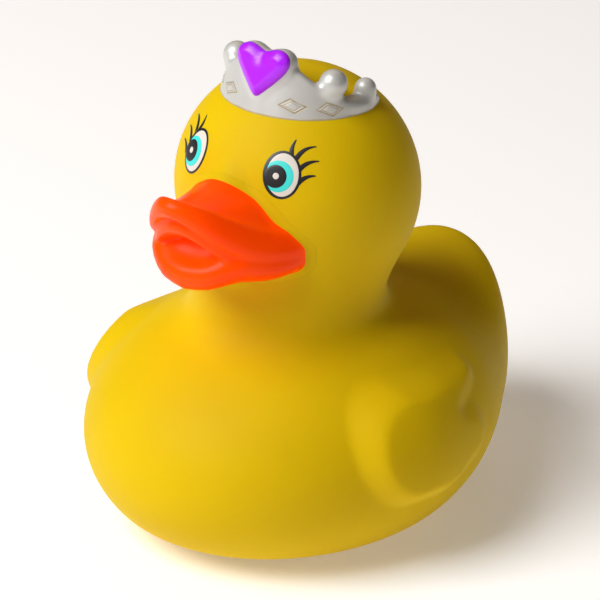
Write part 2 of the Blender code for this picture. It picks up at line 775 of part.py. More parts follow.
def make_tiara(inks):
    """Band, beads and the puffed heart on its thick silver back."""
    crown = [make_band(inks["silver"])]
    beads = (
        (BEAD_1_ANGLE, BEAD_1_HEIGHT, BEAD_1_RADIUS),
        (BEAD_2_ANGLE, BEAD_2_HEIGHT, BEAD_2_RADIUS),
    )
    for number, (angle, height, radius) in enumerate(beads, start=1):
        crown.append(make_bead(f"left_bead_{number}", 1, angle, height, radius, inks["silver"]))
        crown.append(make_bead(f"right_bead_{number}", -1, angle, height, radius, inks["silver"]))
    side = max(across for across, _ in HEART_HALF_OUTLINE) + GRID_MARGIN
    front = HEAD_CENTRE[1] - HEAD_HALF_LENGTH
    base = HEAD_CENTRE[2] + TIARA_SEAT
    top = base + HEART_TIP_HEIGHT + max(height for _, height in HEART_HALF_OUTLINE) + GRID_MARGIN
    low, high = (-side, front, base - GRID_MARGIN), (side, HEAD_CENTRE[1] + GRID_MARGIN, top)
    crown.append(skin("heart_back", heart_back, low, high, HEART_CELL, inks["silver"]))
    crown.append(skin("heart_jewel", heart_jewel, low, high, HEART_CELL, inks["purple"]))
    return crown


def make_shell(inks):
    """The hollow moulding, with its bill, tiara, heart and printed eyes."""
    top = HEAD_CENTRE[2] + HEAD_HALF_HEIGHT + GRID_MARGIN
    side = BODY_HALF_WIDTH + WING_RELIEF + GRID_MARGIN
    low = (-side, BODY_CENTRE[1] - BODY_HALF_LENGTH - GRID_MARGIN, -GRID_MARGIN)
    high = (side, TAIL_CENTRE[1] + TAIL_HALF_HEIGHT + GRID_MARGIN, top)
    shell = skin("duck_shell", winged_duck, low, high, BODY_CELL, inks["yellow"])
    _, head_y, head_z = HEAD_CENTRE
    bill_side = BILL_HALF_WIDTH + GRID_MARGIN
    bill_front = head_y - BILL_SETBACK - BILL_REACH - GRID_MARGIN
    bill_rear = head_y - BILL_ROOT + GRID_MARGIN
    bill_low = (-bill_side, bill_front, head_z - BILL_GRID_HALF_HEIGHT)
    bill_high = (bill_side, bill_rear, head_z + BILL_GRID_HALF_HEIGHT)
    beak = skin("bill", bill, bill_low, bill_high, BILL_CELL, inks["orange"])
    apply_boolean(shell, "UNION", "moulded_bill", [beak])
    apply_boolean(shell, "UNION", "moulded_tiara", make_tiara(inks))
    printed = make_eye(1, "left_eye", inks) + make_eye(-1, "right_eye", inks)
    apply_boolean(shell, "UNION", "printed_eyes", printed)
    hollow = skin("cavity", lambda points: plain_duck(points) + WALL, low, high, CAVITY_CELL, inks["yellow"])
    apply_boolean(shell, "DIFFERENCE", "hollow", [hollow])
    seat_top = RECESS_DEPTH + WALL
    boss = disc("recess_boss", RECESS_RADIUS + WALL, WALL / 2.0, seat_top, inks["yellow"])
    apply_boolean(shell, "UNION", "boss", [boss])
    recess = disc("recess", RECESS_RADIUS, -1.0, RECESS_DEPTH, inks["yellow"])
    bore = disc("bore", BORE_RADIUS, -1.0, seat_top + 1.0, inks["yellow"])
    apply_boolean(shell, "DIFFERENCE", "squeaker_seat", [recess, bore])
    return shell


def make_squeaker(inks):
    """Housing, reed block and reed, each clear of the next by the fit gap."""
    barrel = BORE_RADIUS - FIT_GAP
    inner = barrel - HOUSING_WALL
    outer_flange = RECESS_RADIUS - FIT_GAP
    inner_flange = outer_flange
    foot = RECESS_DEPTH - FIT_GAP - FLANGE_THICKNESS
    groove_low = foot + FLANGE_THICKNESS
    groove_high = RECESS_DEPTH + WALL + FIT_GAP
    top = foot + HOUSING_HEIGHT
    floor = groove_low + HOUSING_WALL
    profile = [
        (AIR_HOLE_RADIUS, foot),
        (outer_flange, foot),
        (outer_flange, groove_low),
        (barrel, groove_low),
        (barrel, groove_high),
        (inner_flange, groove_high + FLANGE_THICKNESS / 2.0),
        (barrel, groove_high + 2.0 * FLANGE_THICKNESS),
        (barrel, top),
        (inner, top),
        (inner, floor),
        (AIR_HOLE_RADIUS, floor),
    ]
    turned("squeaker_housing", profile, inks["housing"])
    block_low = floor + FIT_GAP
    block_high = block_low + BLOCK_HEIGHT
    reed_block = disc("squeaker_reed_block", inner - FIT_GAP, block_low, block_high, inks["block"])
    middle = (block_low + block_high) / 2.0
    channel_size = (CHANNEL_WIDTH, CHANNEL_DEPTH, 2.0 * BLOCK_HEIGHT)
    channel = block("reed_channel", channel_size, (0.0, 0.0, middle), inks["block"])
    apply_boolean(reed_block, "DIFFERENCE", "air_channel", [channel])
    reed_y = CHANNEL_DEPTH / 2.0 - FIT_GAP - REED_THICKNESS / 2.0
    reed_width = CHANNEL_WIDTH - 2.0 * FIT_GAP
    block("squeaker_reed", (reed_width, REED_THICKNESS, REED_LENGTH), (0.0, reed_y, middle), inks["brass"])


def main():
    """Clear the scene and make every piece."""
    for item in list(bpy.data.objects):
        bpy.data.objects.remove(item, do_unlink=True)
    inks = {
        "yellow": make_material("yellow_vinyl", (0.88, 0.62, 0.005), 0.4),
        "orange": make_material("orange_paint", (0.95, 0.06, 0.0), 0.2),
        "silver": make_material("silver_paint", (0.5, 0.5, 0.48), 0.3),
        "purple": make_material("purple_paint", (0.35, 0.02, 0.9), 0.15),
        "black": make_material("black_ink", (0.01, 0.01, 0.01), 0.3),
        "white": make_material("white_ink", (0.8, 0.75, 0.7), 0.4),
        "turquoise": make_material("turquoise_ink", (0.05, 0.75, 0.7), 0.4),
        "housing": make_material("white_polythene", (0.8, 0.8, 0.78), 0.45),
        "block": make_material("grey_styrene", (0.3, 0.3, 0.32), 0.4),
        "brass": make_material("reed_brass", (0.6, 0.42, 0.12), 0.3),
    }
    make_shell(inks)
    make_squeaker(inks)


main()
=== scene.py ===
"""The visible rubber duck: a soft-vinyl moulding with painted bill, tiara and heart, and printed eyes.

The duck faces -Y, its left wing is at +X and its base stands at z = 0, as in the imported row.
Sizes are in millimetres, and MM turns them into Blender's metres when a mesh is made.
Each soft form is a field: a function that is negative inside, zero on the surface and
grows outwards about as fast as the distance, so that forms blend as they do in a mould.
"""

import logging
import math
from collections.abc import Callable
from dataclasses import dataclass
from enum import Enum, IntEnum

import bpy
import numpy as np
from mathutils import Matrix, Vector

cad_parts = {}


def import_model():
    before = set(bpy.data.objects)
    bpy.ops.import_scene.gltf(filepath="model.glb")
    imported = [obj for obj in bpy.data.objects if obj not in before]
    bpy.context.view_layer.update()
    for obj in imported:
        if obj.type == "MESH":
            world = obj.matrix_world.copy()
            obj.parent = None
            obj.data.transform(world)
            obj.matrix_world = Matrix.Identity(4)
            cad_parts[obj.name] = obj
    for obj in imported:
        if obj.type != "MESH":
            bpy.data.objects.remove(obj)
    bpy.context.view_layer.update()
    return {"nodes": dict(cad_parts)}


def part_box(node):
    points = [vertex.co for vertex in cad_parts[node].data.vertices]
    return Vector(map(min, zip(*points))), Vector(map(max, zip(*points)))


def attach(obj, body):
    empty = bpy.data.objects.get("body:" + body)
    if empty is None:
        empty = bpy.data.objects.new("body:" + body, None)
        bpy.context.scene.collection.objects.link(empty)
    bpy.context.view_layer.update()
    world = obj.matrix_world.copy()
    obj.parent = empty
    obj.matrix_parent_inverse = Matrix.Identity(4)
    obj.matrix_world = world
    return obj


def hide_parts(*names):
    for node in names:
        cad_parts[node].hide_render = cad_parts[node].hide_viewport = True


LOG = logging.getLogger("rubber_duck")
MM = 0.001
BODY = "root"
SHELL = "duck_shell"

Field = Callable[[np.ndarray], np.ndarray]
Triple = tuple[float, float, float]
Pair = tuple[float, float]


class Side(Enum):
    """The duck's own left and right, as the sign of X."""

    LEFT = 1
    RIGHT = -1


class Ink(IntEnum):
    """The eye's layers of ink, from the skin outwards."""

    OUTLINE = 1
    WHITE = 2
    IRIS = 3
    PUPIL = 4
    GLINT = 5


# Fields


def join(first: np.ndarray, second: np.ndarray, blend: float) -> np.ndarray:
    """Unite two fields with a fillet.

    Args:
        first: Values of one field.
        second: Values of the other field.
        blend: Reach of the fillet; it is about a quarter of this deep.

    Returns:
        Values of the united field.
    """
    overlap = np.maximum(blend - np.abs(first - second), 0.0) / blend
    return np.minimum(first, second) - overlap**2 * blend / 4.0


def overlap_of(first: np.ndarray, second: np.ndarray, blend: float) -> np.ndarray:
    """Keep what two fields share.

    Args:
        first: Values of one field.
        second: Values of the other field.
        blend: Reach of the rounding on the edge between them.

    Returns:
        Values of the shared field.
    """
    return -join(-first, -second, blend)


def ease(share: np.ndarray) -> np.ndarray:
    """Step smoothly from 0 to 1."""
    share = np.clip(share, 0.0, 1.0)
    return share**2 * (3.0 - 2.0 * share)


@dataclass(frozen=True)
class Oval:
    """An oval body, pitched about the X axis."""

    centre: Triple
    halves: Triple
    pitch: float = 0.0

    def distance(self, points: np.ndarray) -> np.ndarray:
        """Measure how far points are from the oval.

        Args:
            points: Places in millimetres, on the last axis.

        Returns:
            The field's value at each place.
        """
        offset = points - np.asarray(self.centre)
        if self.pitch:
            cosine, sine = math.cos(self.pitch), math.sin(self.pitch)
            across, along, up = offset[..., 0], offset[..., 1], offset[..., 2]
            offset = np.stack([across, cosine * along + sine * up, cosine * up - sine * along], axis=-1)
        halves = np.asarray(self.halves)
        near = np.linalg.norm(offset / halves, axis=-1)
        steep = np.linalg.norm(offset / halves**2, axis=-1)
        return near * (near - 1.0) / np.maximum(steep, 1e-9)


@dataclass(frozen=True)
class Finger:
    """A flat tapered finger between two rounds, each given as (along, up, radius)."""

    start: Triple
    end: Triple

    def distance(self, along: np.ndarray, up: np.ndarray) -> np.ndarray:
        """Measure how far plan points are from the finger.

        Args:
            along: First plan coordinate.
            up: Second plan coordinate.

        Returns:
            The plan field's value at each point.
        """
        run, rise = self.end[0] - self.start[0], self.end[1] - self.start[1]
        share = ((along - self.start[0]) * run + (up - self.start[1]) * rise) / (run**2 + rise**2)
        share = np.clip(share, 0.0, 1.0)
        radius = self.start[2] + (self.end[2] - self.start[2]) * share
        reach = np.hypot(along - self.start[0] - share * run, up - self.start[1] - share * rise)
        return reach - radius


# Meshes


def settle(field: Field, points: np.ndarray, rounds: int = 5) -> np.ndarray:
    """Move points along a field's slope until they lie on its surface.

    Args:
        field: The form.
        points: Places near its surface.
        rounds: How many steps each point takes.

    Returns:
        The places on the surface.
    """
    step = 0.02
    longest = 1.5
    for _ in range(rounds):
        rises = [field(points + small) - field(points - small) for small in np.eye(3) * step]
        slope = np.stack(rises, axis=-1) / (2.0 * step)
        size = np.maximum((slope**2).sum(axis=-1), 0.2)
        points = points - np.clip(field(points) / size, -longest, longest)[:, None] * slope
    return points


def deselect_all() -> None:
    """Leave object mode with nothing selected."""
    if bpy.context.object is not None and bpy.context.object.mode != "OBJECT":
        bpy.ops.object.mode_set(mode="OBJECT")
    bpy.ops.object.select_all(action="DESELECT")


def add_mesh(name: str, points: np.ndarray, faces: list, crease: float = 180.0) -> bpy.types.Object:
    """Make an object from points in millimetres.

    Args:
        name: The object's name.
        points: Vertices in millimetres.
        faces: Corners of each face.
        crease: Angle in degrees past which an edge is shown sharp.

    Returns:
        The new object, with smooth faces that point outwards.
    """
    mesh = bpy.data.meshes.new(name)
    mesh.from_pydata((np.asarray(points) * MM).tolist(), [], [list(face) for face in faces])
    item = bpy.data.objects.new(name, mesh)
    bpy.context.scene.collection.objects.link(item)
    deselect_all()
    item.select_set(True)
    bpy.context.view_layer.objects.active = item
    bpy.ops.object.mode_set(mode="EDIT")
    bpy.ops.mesh.select_all(action="SELECT")
    bpy.ops.mesh.normals_make_consistent(inside=False)
    bpy.ops.object.mode_set(mode="OBJECT")
    bpy.ops.object.shade_smooth_by_angle(angle=math.radians(crease))
    return item


@dataclass(frozen=True)
class Skinner:
    """Makes the mesh of a field's surface between two corners of a box."""

    cell: float
    rounds: int = 3

    @staticmethod
    def firm_up(inside: np.ndarray) -> None:
        """Fill grid points until no two filled ones meet only across a square's diagonal."""
        filled = -1
        while inside.sum() != filled:
            filled = inside.sum()
            for view in (inside, np.moveaxis(inside, 0, 2), np.moveaxis(inside, 1, 2)):
                near, far = view[:-1, :-1], view[1:, 1:]
                left, right = view[1:, :-1], view[:-1, 1:]
                left |= near & far & ~right
                near |= left & right & ~far

    def cells(self, field: Field, low: Triple, high: Triple) -> tuple[np.ndarray, np.ndarray]:
        """Find the grid cells that a surface crosses.

        Args:
            field: The form.
            low: Lowest corner of the box in millimetres.
            high: Highest corner of the box.

        Returns:
            The cells' middles and the quads that join them.
        """
        start, end = np.asarray(low), np.asarray(high)
        counts = np.ceil((end - start) / self.cell).astype(int) + 1
        lines = [start[axis] + self.cell * np.arange(counts[axis]) for axis in range(3)]
        inside = field(np.stack(np.meshgrid(*lines, indexing="ij"), axis=-1)) < 0.0
        self.firm_up(inside)
        corners = np.zeros(counts - 1, dtype=int)
        for i in (0, 1):
            for j in (0, 1):
                for k in (0, 1):
                    corners += inside[i : counts[0] - 1 + i, j : counts[1] - 1 + j, k : counts[2] - 1 + k]
        crossed = (corners > 0) & (corners < 8)
        number = np.full(crossed.shape, -1)
        number[crossed] = np.arange(crossed.sum())
        quads = []
        for axis in range(3):
            near = np.take(inside, range(counts[axis] - 1), axis=axis)
            far = np.take(inside, range(1, counts[axis]), axis=axis)
            spots = np.argwhere(near != far)
            ring = []
            for back_first, back_second in ((1, 1), (0, 1), (0, 0), (1, 0)):
                spot = spots.copy()
                spot[:, (axis + 1) % 3] -= back_first
                spot[:, (axis + 2) % 3] -= back_second
                ring.append(number[tuple(spot.T)])
            ring = np.stack(ring, axis=1)
            arriving = ~near[tuple(spots.T)]
            ring[arriving] = ring[arriving][:, ::-1]
            quads.append(ring)
        middles = start + self.cell * (np.argwhere(crossed) + 0.5)
        return middles, np.concatenate(quads)

    @staticmethod
    def relax(points: np.ndarray, quads: np.ndarray) -> np.ndarray:
        """Draw each point halfway towards the middle of its neighbours."""
        total = np.zeros_like(points)
        count = np.zeros(len(points))
        for turn in range(4):
            here, there = quads[:, turn], quads[:, (turn + 1) % 4]
            for one, other in ((here, there), (there, here)):
                np.add.at(total, one, points[other])
                np.add.at(count, one, 1)
        return points + 0.5 * (total / count[:, None] - points)

    def skin(
        self, name: str, field: Field, low: Triple, high: Triple, crease: float = 180.0
    ) -> bpy.types.Object:
        """Mesh a field's surface, evened out and settled on it.

        Args:
            name: The object's name.
            field: The form.
            low: Lowest corner of the box that holds it, in millimetres.
            high: Highest corner of the box.
            crease: Angle in degrees past which an edge is shown sharp.

        Returns:
            The new object.
        """
        points, quads = self.cells(field, low, high)
        points = settle(field, points)
        for _ in range(self.rounds):
            points = settle(field, self.relax(points, quads), rounds=3)
        return add_mesh(name, points, quads.tolist(), crease)


def add_disc(name: str, radius: float, low: float, high: float, corners: int = 96) -> bpy.types.Object:
    """Add a round rod standing on the Z axis.

    Args:
        name: The object's name.
        radius: Its radius in millimetres.
        low: Height of its lower end.
        high: Height of its upper end.
        corners: Number of its sides.

    Returns:
        The rod.
    """
    deselect_all()
    bpy.ops.mesh.primitive_cylinder_add(
        vertices=corners,
        radius=radius * MM,
        depth=(high - low) * MM,
        location=(0.0, 0.0, (low + high) / 2.0 * MM),
    )
    item = bpy.context.object
    item.name = name
    return item


def carve(target: bpy.types.Object, operation: str, operand: bpy.types.Object) -> None:
    """Apply a Boolean to the target and delete the operand.

    Args:
        target: The piece that keeps the result.
        operation: UNION or DIFFERENCE.
        operand: The piece that is added or taken away.
    """
    modifier = target.modifiers.new(operand.name, "BOOLEAN")
    modifier.operation = operation
    modifier.solver = "EXACT"
    modifier.object = operand
    deselect_all()
    target.select_set(True)
    bpy.context.view_layer.objects.active = target
    bpy.ops.object.modifier_apply(modifier=modifier.name)
    bpy.data.objects.remove(operand, do_unlink=True)


# Finishes


def scatter_group() -> bpy.types.NodeTree:
    """Build the shared unevenness of a moulded or painted skin, once.

    Returns:
        A group with a Scale and a Fine Scale input, and Height and Mottle outputs.
    """
    name = "moulded_unevenness"
    if name in bpy.data.node_groups:
        return bpy.data.node_groups[name]
    tree = bpy.data.node_groups.new(name, "ShaderNodeTree")
    for label, default in (("Scale", 60.0), ("Fine Scale", 900.0), ("Fine Share", 0.4)):
        socket = tree.interface.new_socket(label, in_out="INPUT", socket_type="NodeSocketFloat")
        socket.default_value = default
    for label in ("Height", "Mottle"):
        tree.interface.new_socket(label, in_out="OUTPUT", socket_type="NodeSocketFloat")
    nodes, links = tree.nodes, tree.links
    entry, result = nodes.new("NodeGroupInput"), nodes.new("NodeGroupOutput")
    place = nodes.new("ShaderNodeTexCoord")
    coarse, fine = nodes.new("ShaderNodeTexNoise"), nodes.new("ShaderNodeTexNoise")
    for noise, scale in ((coarse, "Scale"), (fine, "Fine Scale")):
        links.new(place.outputs["Object"], noise.inputs["Vector"])
        links.new(entry.outputs[scale], noise.inputs["Scale"])
        noise.inputs["Detail"].default_value = 3.0
    blend = nodes.new("ShaderNodeMix")
    links.new(entry.outputs["Fine Share"], blend.inputs["Factor"])
    links.new(coarse.outputs["Fac"], blend.inputs["A"])
    links.new(fine.outputs["Fac"], blend.inputs["B"])
    links.new(blend.outputs["Result"], result.inputs["Height"])
    links.new(coarse.outputs["Fac"], result.inputs["Mottle"])
    return tree


class NodeSheet:
    """A material's node tree, with short calls for what the finishes share."""

    def __init__(self, name: str) -> None:
        """Start a material with one Principled shader."""
        self.material = bpy.data.materials.new(name)
        self.material.use_nodes = True
        self.tree = self.material.node_tree
        self.shader = self.tree.nodes["Principled BSDF"]

    def set(self, socket: str, value: float | tuple) -> None:
        """Set a constant on the shader's own socket."""
        self.shader.inputs[socket].default_value = value

    def link(self, source: bpy.types.NodeSocket, target: bpy.types.NodeSocket) -> None:
        """Join two sockets."""
        self.tree.links.new(source, target)

    def maths(self, operation: str, first: object, second: object = 0.0) -> bpy.types.NodeSocket:
        """Add a Math node.

        Args:
            operation: The node's operation.
            first: A socket or a number.
            second: A socket or a number.

        Returns:
            The node's output.
        """
        node = self.tree.nodes.new("ShaderNodeMath")
        node.operation = operation
        for socket, value in zip(node.inputs, (first, second)):
            if isinstance(value, bpy.types.NodeSocket):
                self.link(value, socket)
            else:
                socket.default_value = value
        return node.outputs[0]

    def turned(self, first: object, second: object, angle: float) -> tuple[bpy.types.NodeSocket, ...]:
        """Turn a pair of coordinates back by an angle from the second towards the first."""
        cosine, sine = math.cos(angle), math.sin(angle)
        turned_first = self.maths(
            "SUBTRACT", self.maths("MULTIPLY", first, cosine), self.maths("MULTIPLY", second, sine)
        )
        turned_second = self.maths(
            "ADD", self.maths("MULTIPLY", first, sine), self.maths("MULTIPLY", second, cosine)
        )
        return turned_first, turned_second

    def step(self, value: object, low: float, high: float) -> bpy.types.NodeSocket:
        """Turn a value into a smooth mask that is 0 at low and 1 at high."""
        node = self.tree.nodes.new("ShaderNodeMapRange")
        node.interpolation_type = "SMOOTHSTEP"
        self.link(value, node.inputs["Value"])
        node.inputs["From Min"].default_value = low
        node.inputs["From Max"].default_value = high
        return node.outputs["Result"]

    def mix(self, mask: bpy.types.NodeSocket, first: object, second: object) -> bpy.types.NodeSocket:
        """Mix two colours.

        Args:
            mask: 0 gives the first colour and 1 the second.
            first: A colour or a socket.
            second: A colour or a socket.

        Returns:
            The mixed colour.
        """
        node = self.tree.nodes.new("ShaderNodeMix")
        node.data_type = "RGBA"
        self.link(mask, node.inputs["Factor"])
        for socket, value in ((node.inputs[6], first), (node.inputs[7], second)):
            if isinstance(value, bpy.types.NodeSocket):
                self.link(value, socket)
            else:
                socket.default_value = (*value, 1.0)
        return node.outputs[2]

    def unevenness(self, scale: float, fine_scale: float, fine_share: float) -> bpy.types.Node:
        """Place the shared unevenness group."""
        node = self.tree.nodes.new("ShaderNodeGroup")
        node.node_tree = scatter_group()
        node.inputs["Scale"].default_value = scale
        node.inputs["Fine Scale"].default_value = fine_scale
        node.inputs["Fine Share"].default_value = fine_share
        return node

    def bump(self, height: bpy.types.NodeSocket, depth: float) -> None:
        """Feed the shader's normal from a height, with its depth in millimetres."""
        node = self.tree.nodes.new("ShaderNodeBump")
        node.inputs["Distance"].default_value = depth * MM
        self.link(height, node.inputs["Height"])
        self.link(node.outputs["Normal"], self.shader.inputs["Normal"])


@dataclass(frozen=True)
class MouldedFinish:
    """Vinyl or paint: a faintly mottled colour on an uneven skin, with an optional glow that is painted
    light, brightening the paint where it lies in shade.
    """

    name: str
    colour: Triple
    shade: Triple
    roughness: float
    coat: float = 0.0
    coat_roughness: float = 0.1
    soft: float = 0.0
    soft_radius: Triple = (1.0, 0.5, 0.1)
    gloss: float = 0.5
    glow: Triple = (0.0, 0.0, 0.0)
    painted_glow_strength: float = 0.0
    scale: float = 60.0
    fine_scale: float = 900.0
    fine_share: float = 0.4
    mottle_range: Pair = (0.35, 0.7)
    depth: float = 0.05

    def mottled(self, sheet: NodeSheet) -> tuple[bpy.types.NodeSocket, bpy.types.NodeSocket]:
        """Place the finish's uneven colour and its height."""
        skin = sheet.unevenness(self.scale, self.fine_scale, self.fine_share)
        mottle = sheet.step(skin.outputs["Mottle"], *self.mottle_range)
        return sheet.mix(mottle, self.colour, self.shade), skin.outputs["Height"]

    def build(self) -> bpy.types.Material:
        """Make the material."""
        sheet = NodeSheet(self.name)
        colour, height = self.mottled(sheet)
        sheet.link(colour, sheet.shader.inputs["Base Color"])
        sheet.set("Roughness", self.roughness)
        sheet.set("Specular IOR Level", self.gloss)
        sheet.set("Coat Weight", self.coat)
        sheet.set("Coat Roughness", self.coat_roughness)
        sheet.set("Subsurface Weight", self.soft)
        sheet.set("Subsurface Radius", self.soft_radius)
        sheet.set("Subsurface Scale", MM)
        # Any emission set here is painted light, not a lamp: it brightens the paint where it is in shade.
        sheet.set("Emission Color", (*self.glow, 1.0))
        sheet.set("Emission Strength", self.painted_glow_strength)
        sheet.bump(height, self.depth)
        sheet.material.diffuse_color = (*self.colour, 1.0)
        return sheet.material


@dataclass(frozen=True)
class PaintedFinish:
    """Paint over bare vinyl, divided where a measure kept on the mesh is zero."""

    name: str
    vinyl: MouldedFinish
    paint: MouldedFinish
    attribute: str = "paint"
    blur: float = 0.03

    def build(self) -> bpy.types.Material:
        """Make the material."""
        sheet = NodeSheet(self.name)
        measure = sheet.tree.nodes.new("ShaderNodeAttribute")
        measure.attribute_name = self.attribute
        mask = sheet.step(measure.outputs["Fac"], -self.blur, self.blur)
        bare, _ = self.vinyl.mottled(sheet)
        painted, height = self.paint.mottled(sheet)
        sheet.link(sheet.mix(mask, bare, painted), sheet.shader.inputs["Base Color"])
        difference = self.paint.roughness - self.vinyl.roughness
        rough = sheet.maths("ADD", sheet.maths("MULTIPLY", mask, difference), self.vinyl.roughness)
        sheet.link(rough, sheet.shader.inputs["Roughness"])
        coat = sheet.maths("MULTIPLY", mask, self.paint.coat)
        sheet.link(coat, sheet.shader.inputs["Coat Weight"])
        sheet.set("Coat Roughness", self.paint.coat_roughness)
        sheet.set("Specular IOR Level", self.paint.gloss)
        # The paint's glow is painted light: it keeps the paint bright on its shaded side.
        sheet.set("Emission Color", (*self.paint.glow, 1.0))
        glow = sheet.maths("MULTIPLY", mask, self.paint.painted_glow_strength)
        sheet.link(glow, sheet.shader.inputs["Emission Strength"])
        sheet.set("Subsurface Weight", self.vinyl.soft)
        sheet.set("Subsurface Radius", self.vinyl.soft_radius)
        sheet.set("Subsurface Scale", MM)
        sheet.bump(height, self.paint.depth)
        sheet.material.diffuse_color = (*self.paint.colour, 1.0)
        return sheet.material


@dataclass(frozen=True)
class PearlFinish:
    """Pearly silver paint that is thin in the engraved lozenges and along the band's foot."""

    name: str
    silver: Triple
    worn: Triple
    head: Oval
    tiara: "TiaraForm"
    line: float = 0.15
    line_core: float = 0.35
    edge: float = 0.16
    edge_start: float = 1.42
    edge_core: float = 0.2
    edge_wobble: float = 1.6
    rings: tuple[Pair, ...] = ((0.0, 1.0), (0.36, 0.6))
    grain: Triple = (260.0, 2600.0, 0.5)
    patches: Pair = (0.36, 0.5)
    patch_least: float = 0.4
    line_wear: float = 0.75
    foot_wear: float = 0.8
    flakes: Pair = (0.4, 0.62)
    roughness: float = 0.38
    flake_roughness: float = 0.1
    metal: float = 0.3
    coat: float = 0.2
    coat_roughness: float = 0.28
    grain_depth: float = 0.25
    depth: float = 0.12

    def build(self) -> bpy.types.Material:
        """Make the material."""
        sheet = NodeSheet(self.name)
        place = sheet.tree.nodes.new("ShaderNodeTexCoord")
        apart = sheet.tree.nodes.new("ShaderNodeSeparateXYZ")
        sheet.link(place.outputs["Object"], apart.inputs[0])
        offset = []
        for axis in range(3):
            offset.append(sheet.maths("SUBTRACT", apart.outputs[axis], self.head.centre[axis] * MM))
        skin = sheet.unevenness(*self.grain)
        swing = sheet.maths("SUBTRACT", skin.outputs["Mottle"], 0.5)
        wobble = sheet.maths("MULTIPLY", swing, self.edge_wobble * self.edge)

        shares = [sheet.maths("DIVIDE", offset[axis], self.head.halves[axis] * MM) for axis in range(3)]
        squares = [sheet.maths("MULTIPLY", share, share) for share in shares]
        level = sheet.maths("ADD", squares[0], squares[1])
        reach = sheet.maths("SQRT", sheet.maths("ADD", level, squares[2]))
        mean_radius = sum(self.head.halves) / 3.0
        above = sheet.maths("MULTIPLY", sheet.maths("SUBTRACT", reach, 1.0), mean_radius)
        above = sheet.maths("ADD", above, wobble)
        foot = sheet.step(above, self.edge_start * self.edge, self.edge_core * self.edge)

        sideways, rise = sheet.turned(offset[0], offset[2], self.tiara.roll)
        backward, up = sheet.turned(offset[1], rise, self.tiara.tilt)
        forward = sheet.maths("MULTIPLY", backward, -1.0)
        height = sheet.maths("SUBTRACT", sheet.maths("DIVIDE", up, MM), self.tiara.seat)
        wide, deep = self.tiara.ring_radii()
        side = sheet.maths("ABSOLUTE", sheet.maths("MULTIPLY", sideways, deep / wide))
        angle = sheet.maths("ARCTAN2", side, forward)
        lines = None
        for centre_angle, centre_height in self.tiara.lozenges:
            across = sheet.maths("MULTIPLY", sheet.maths("SUBTRACT", angle, centre_angle), deep)
            rise = sheet.maths("SUBTRACT", height, centre_height)
            across = sheet.maths("ADD", across, sheet.maths("MULTIPLY", rise, self.tiara.lozenge_slant))
            flat = sheet.maths("DIVIDE", sheet.maths("ABSOLUTE", across), self.tiara.lozenge_half_width)
            tall = sheet.maths("DIVIDE", sheet.maths("ABSOLUTE", rise), self.tiara.lozenge_half_height)
            rim = sheet.maths("SUBTRACT", sheet.maths("ADD", flat, tall), 1.0)
            for inset, share in self.rings:
                away = sheet.maths("MULTIPLY", sheet.maths("ADD", rim, inset), self.tiara.lozenge_half_height)
                mask = sheet.step(sheet.maths("ABSOLUTE", away), self.line, self.line * self.line_core)
                mask = sheet.maths("MULTIPLY", mask, share)
                lines = mask if lines is None else sheet.maths("MAXIMUM", lines, mask)
        patchy = sheet.step(skin.outputs["Mottle"], *self.patches)
        patchy = sheet.maths("MULTIPLY", patchy, 1.0 - self.patch_least)
        lines = sheet.maths("MULTIPLY", lines, sheet.maths("ADD", patchy, self.patch_least))

        worn_lines = sheet.maths("MULTIPLY", lines, self.line_wear)
        worn = sheet.maths("MAXIMUM", worn_lines, sheet.maths("MULTIPLY", foot, self.foot_wear))
        colour = sheet.mix(worn, self.silver, self.worn)
        sheet.link(colour, sheet.shader.inputs["Base Color"])
        flakes = sheet.step(skin.outputs["Height"], *self.flakes)
        rough = sheet.maths("ADD", sheet.maths("MULTIPLY", flakes, self.flake_roughness), self.roughness)
        sheet.link(rough, sheet.shader.inputs["Roughness"])
        metal = sheet.maths("MULTIPLY", sheet.maths("SUBTRACT", 1.0, worn), self.metal)
        sheet.link(metal, sheet.shader.inputs["Metallic"])
        sheet.set("Coat Weight", self.coat)
        sheet.set("Coat Roughness", self.coat_roughness)
        grain = sheet.maths("MULTIPLY", skin.outputs["Height"], self.grain_depth)
        sheet.bump(sheet.maths("SUBTRACT", grain, lines), self.depth)
        sheet.material.diffuse_color = (*self.silver, 1.0)
        return sheet.material


@dataclass(frozen=True)
class PlainFinish:
    """A flat colour with a fine grain, for inks, small pieces and the floor."""

    name: str
    colour: Triple
    roughness: float
    metallic: float = 0.0
    glow: float = 0.0
    grain: Triple = (400.0, 3000.0, 0.5)
    grain_depth: float = 0.02

    def build(self) -> bpy.types.Material:
        """Make the material."""
        sheet = NodeSheet(self.name)
        sheet.set("Base Color", (*self.colour, 1.0))
        sheet.set("Roughness", self.roughness)
        sheet.set("Metallic", self.metallic)
        sheet.set("Emission Color", (1.0, 1.0, 1.0, 1.0))
        sheet.set("Emission Strength", self.glow)
        skin = sheet.unevenness(*self.grain)
        sheet.bump(skin.outputs["Height"], self.grain_depth)
        sheet.material.diffuse_color = (*self.colour, 1.0)
        return sheet.material


def dress(item: bpy.types.Object, material: bpy.types.Material) -> None:
    """Give a piece one material."""
    item.data.materials.clear()
    item.data.materials.append(material)


def declare(item: bpy.types.Object) -> bpy.types.Object:
    """Attach a piece to the duck's body, hide the imported shell in its place, and log its face count."""
    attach(item, BODY)
    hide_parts(SHELL)
    LOG.info("%s: %d faces", item.name, len(item.data.polygons))
    return item


# Forms of the duck


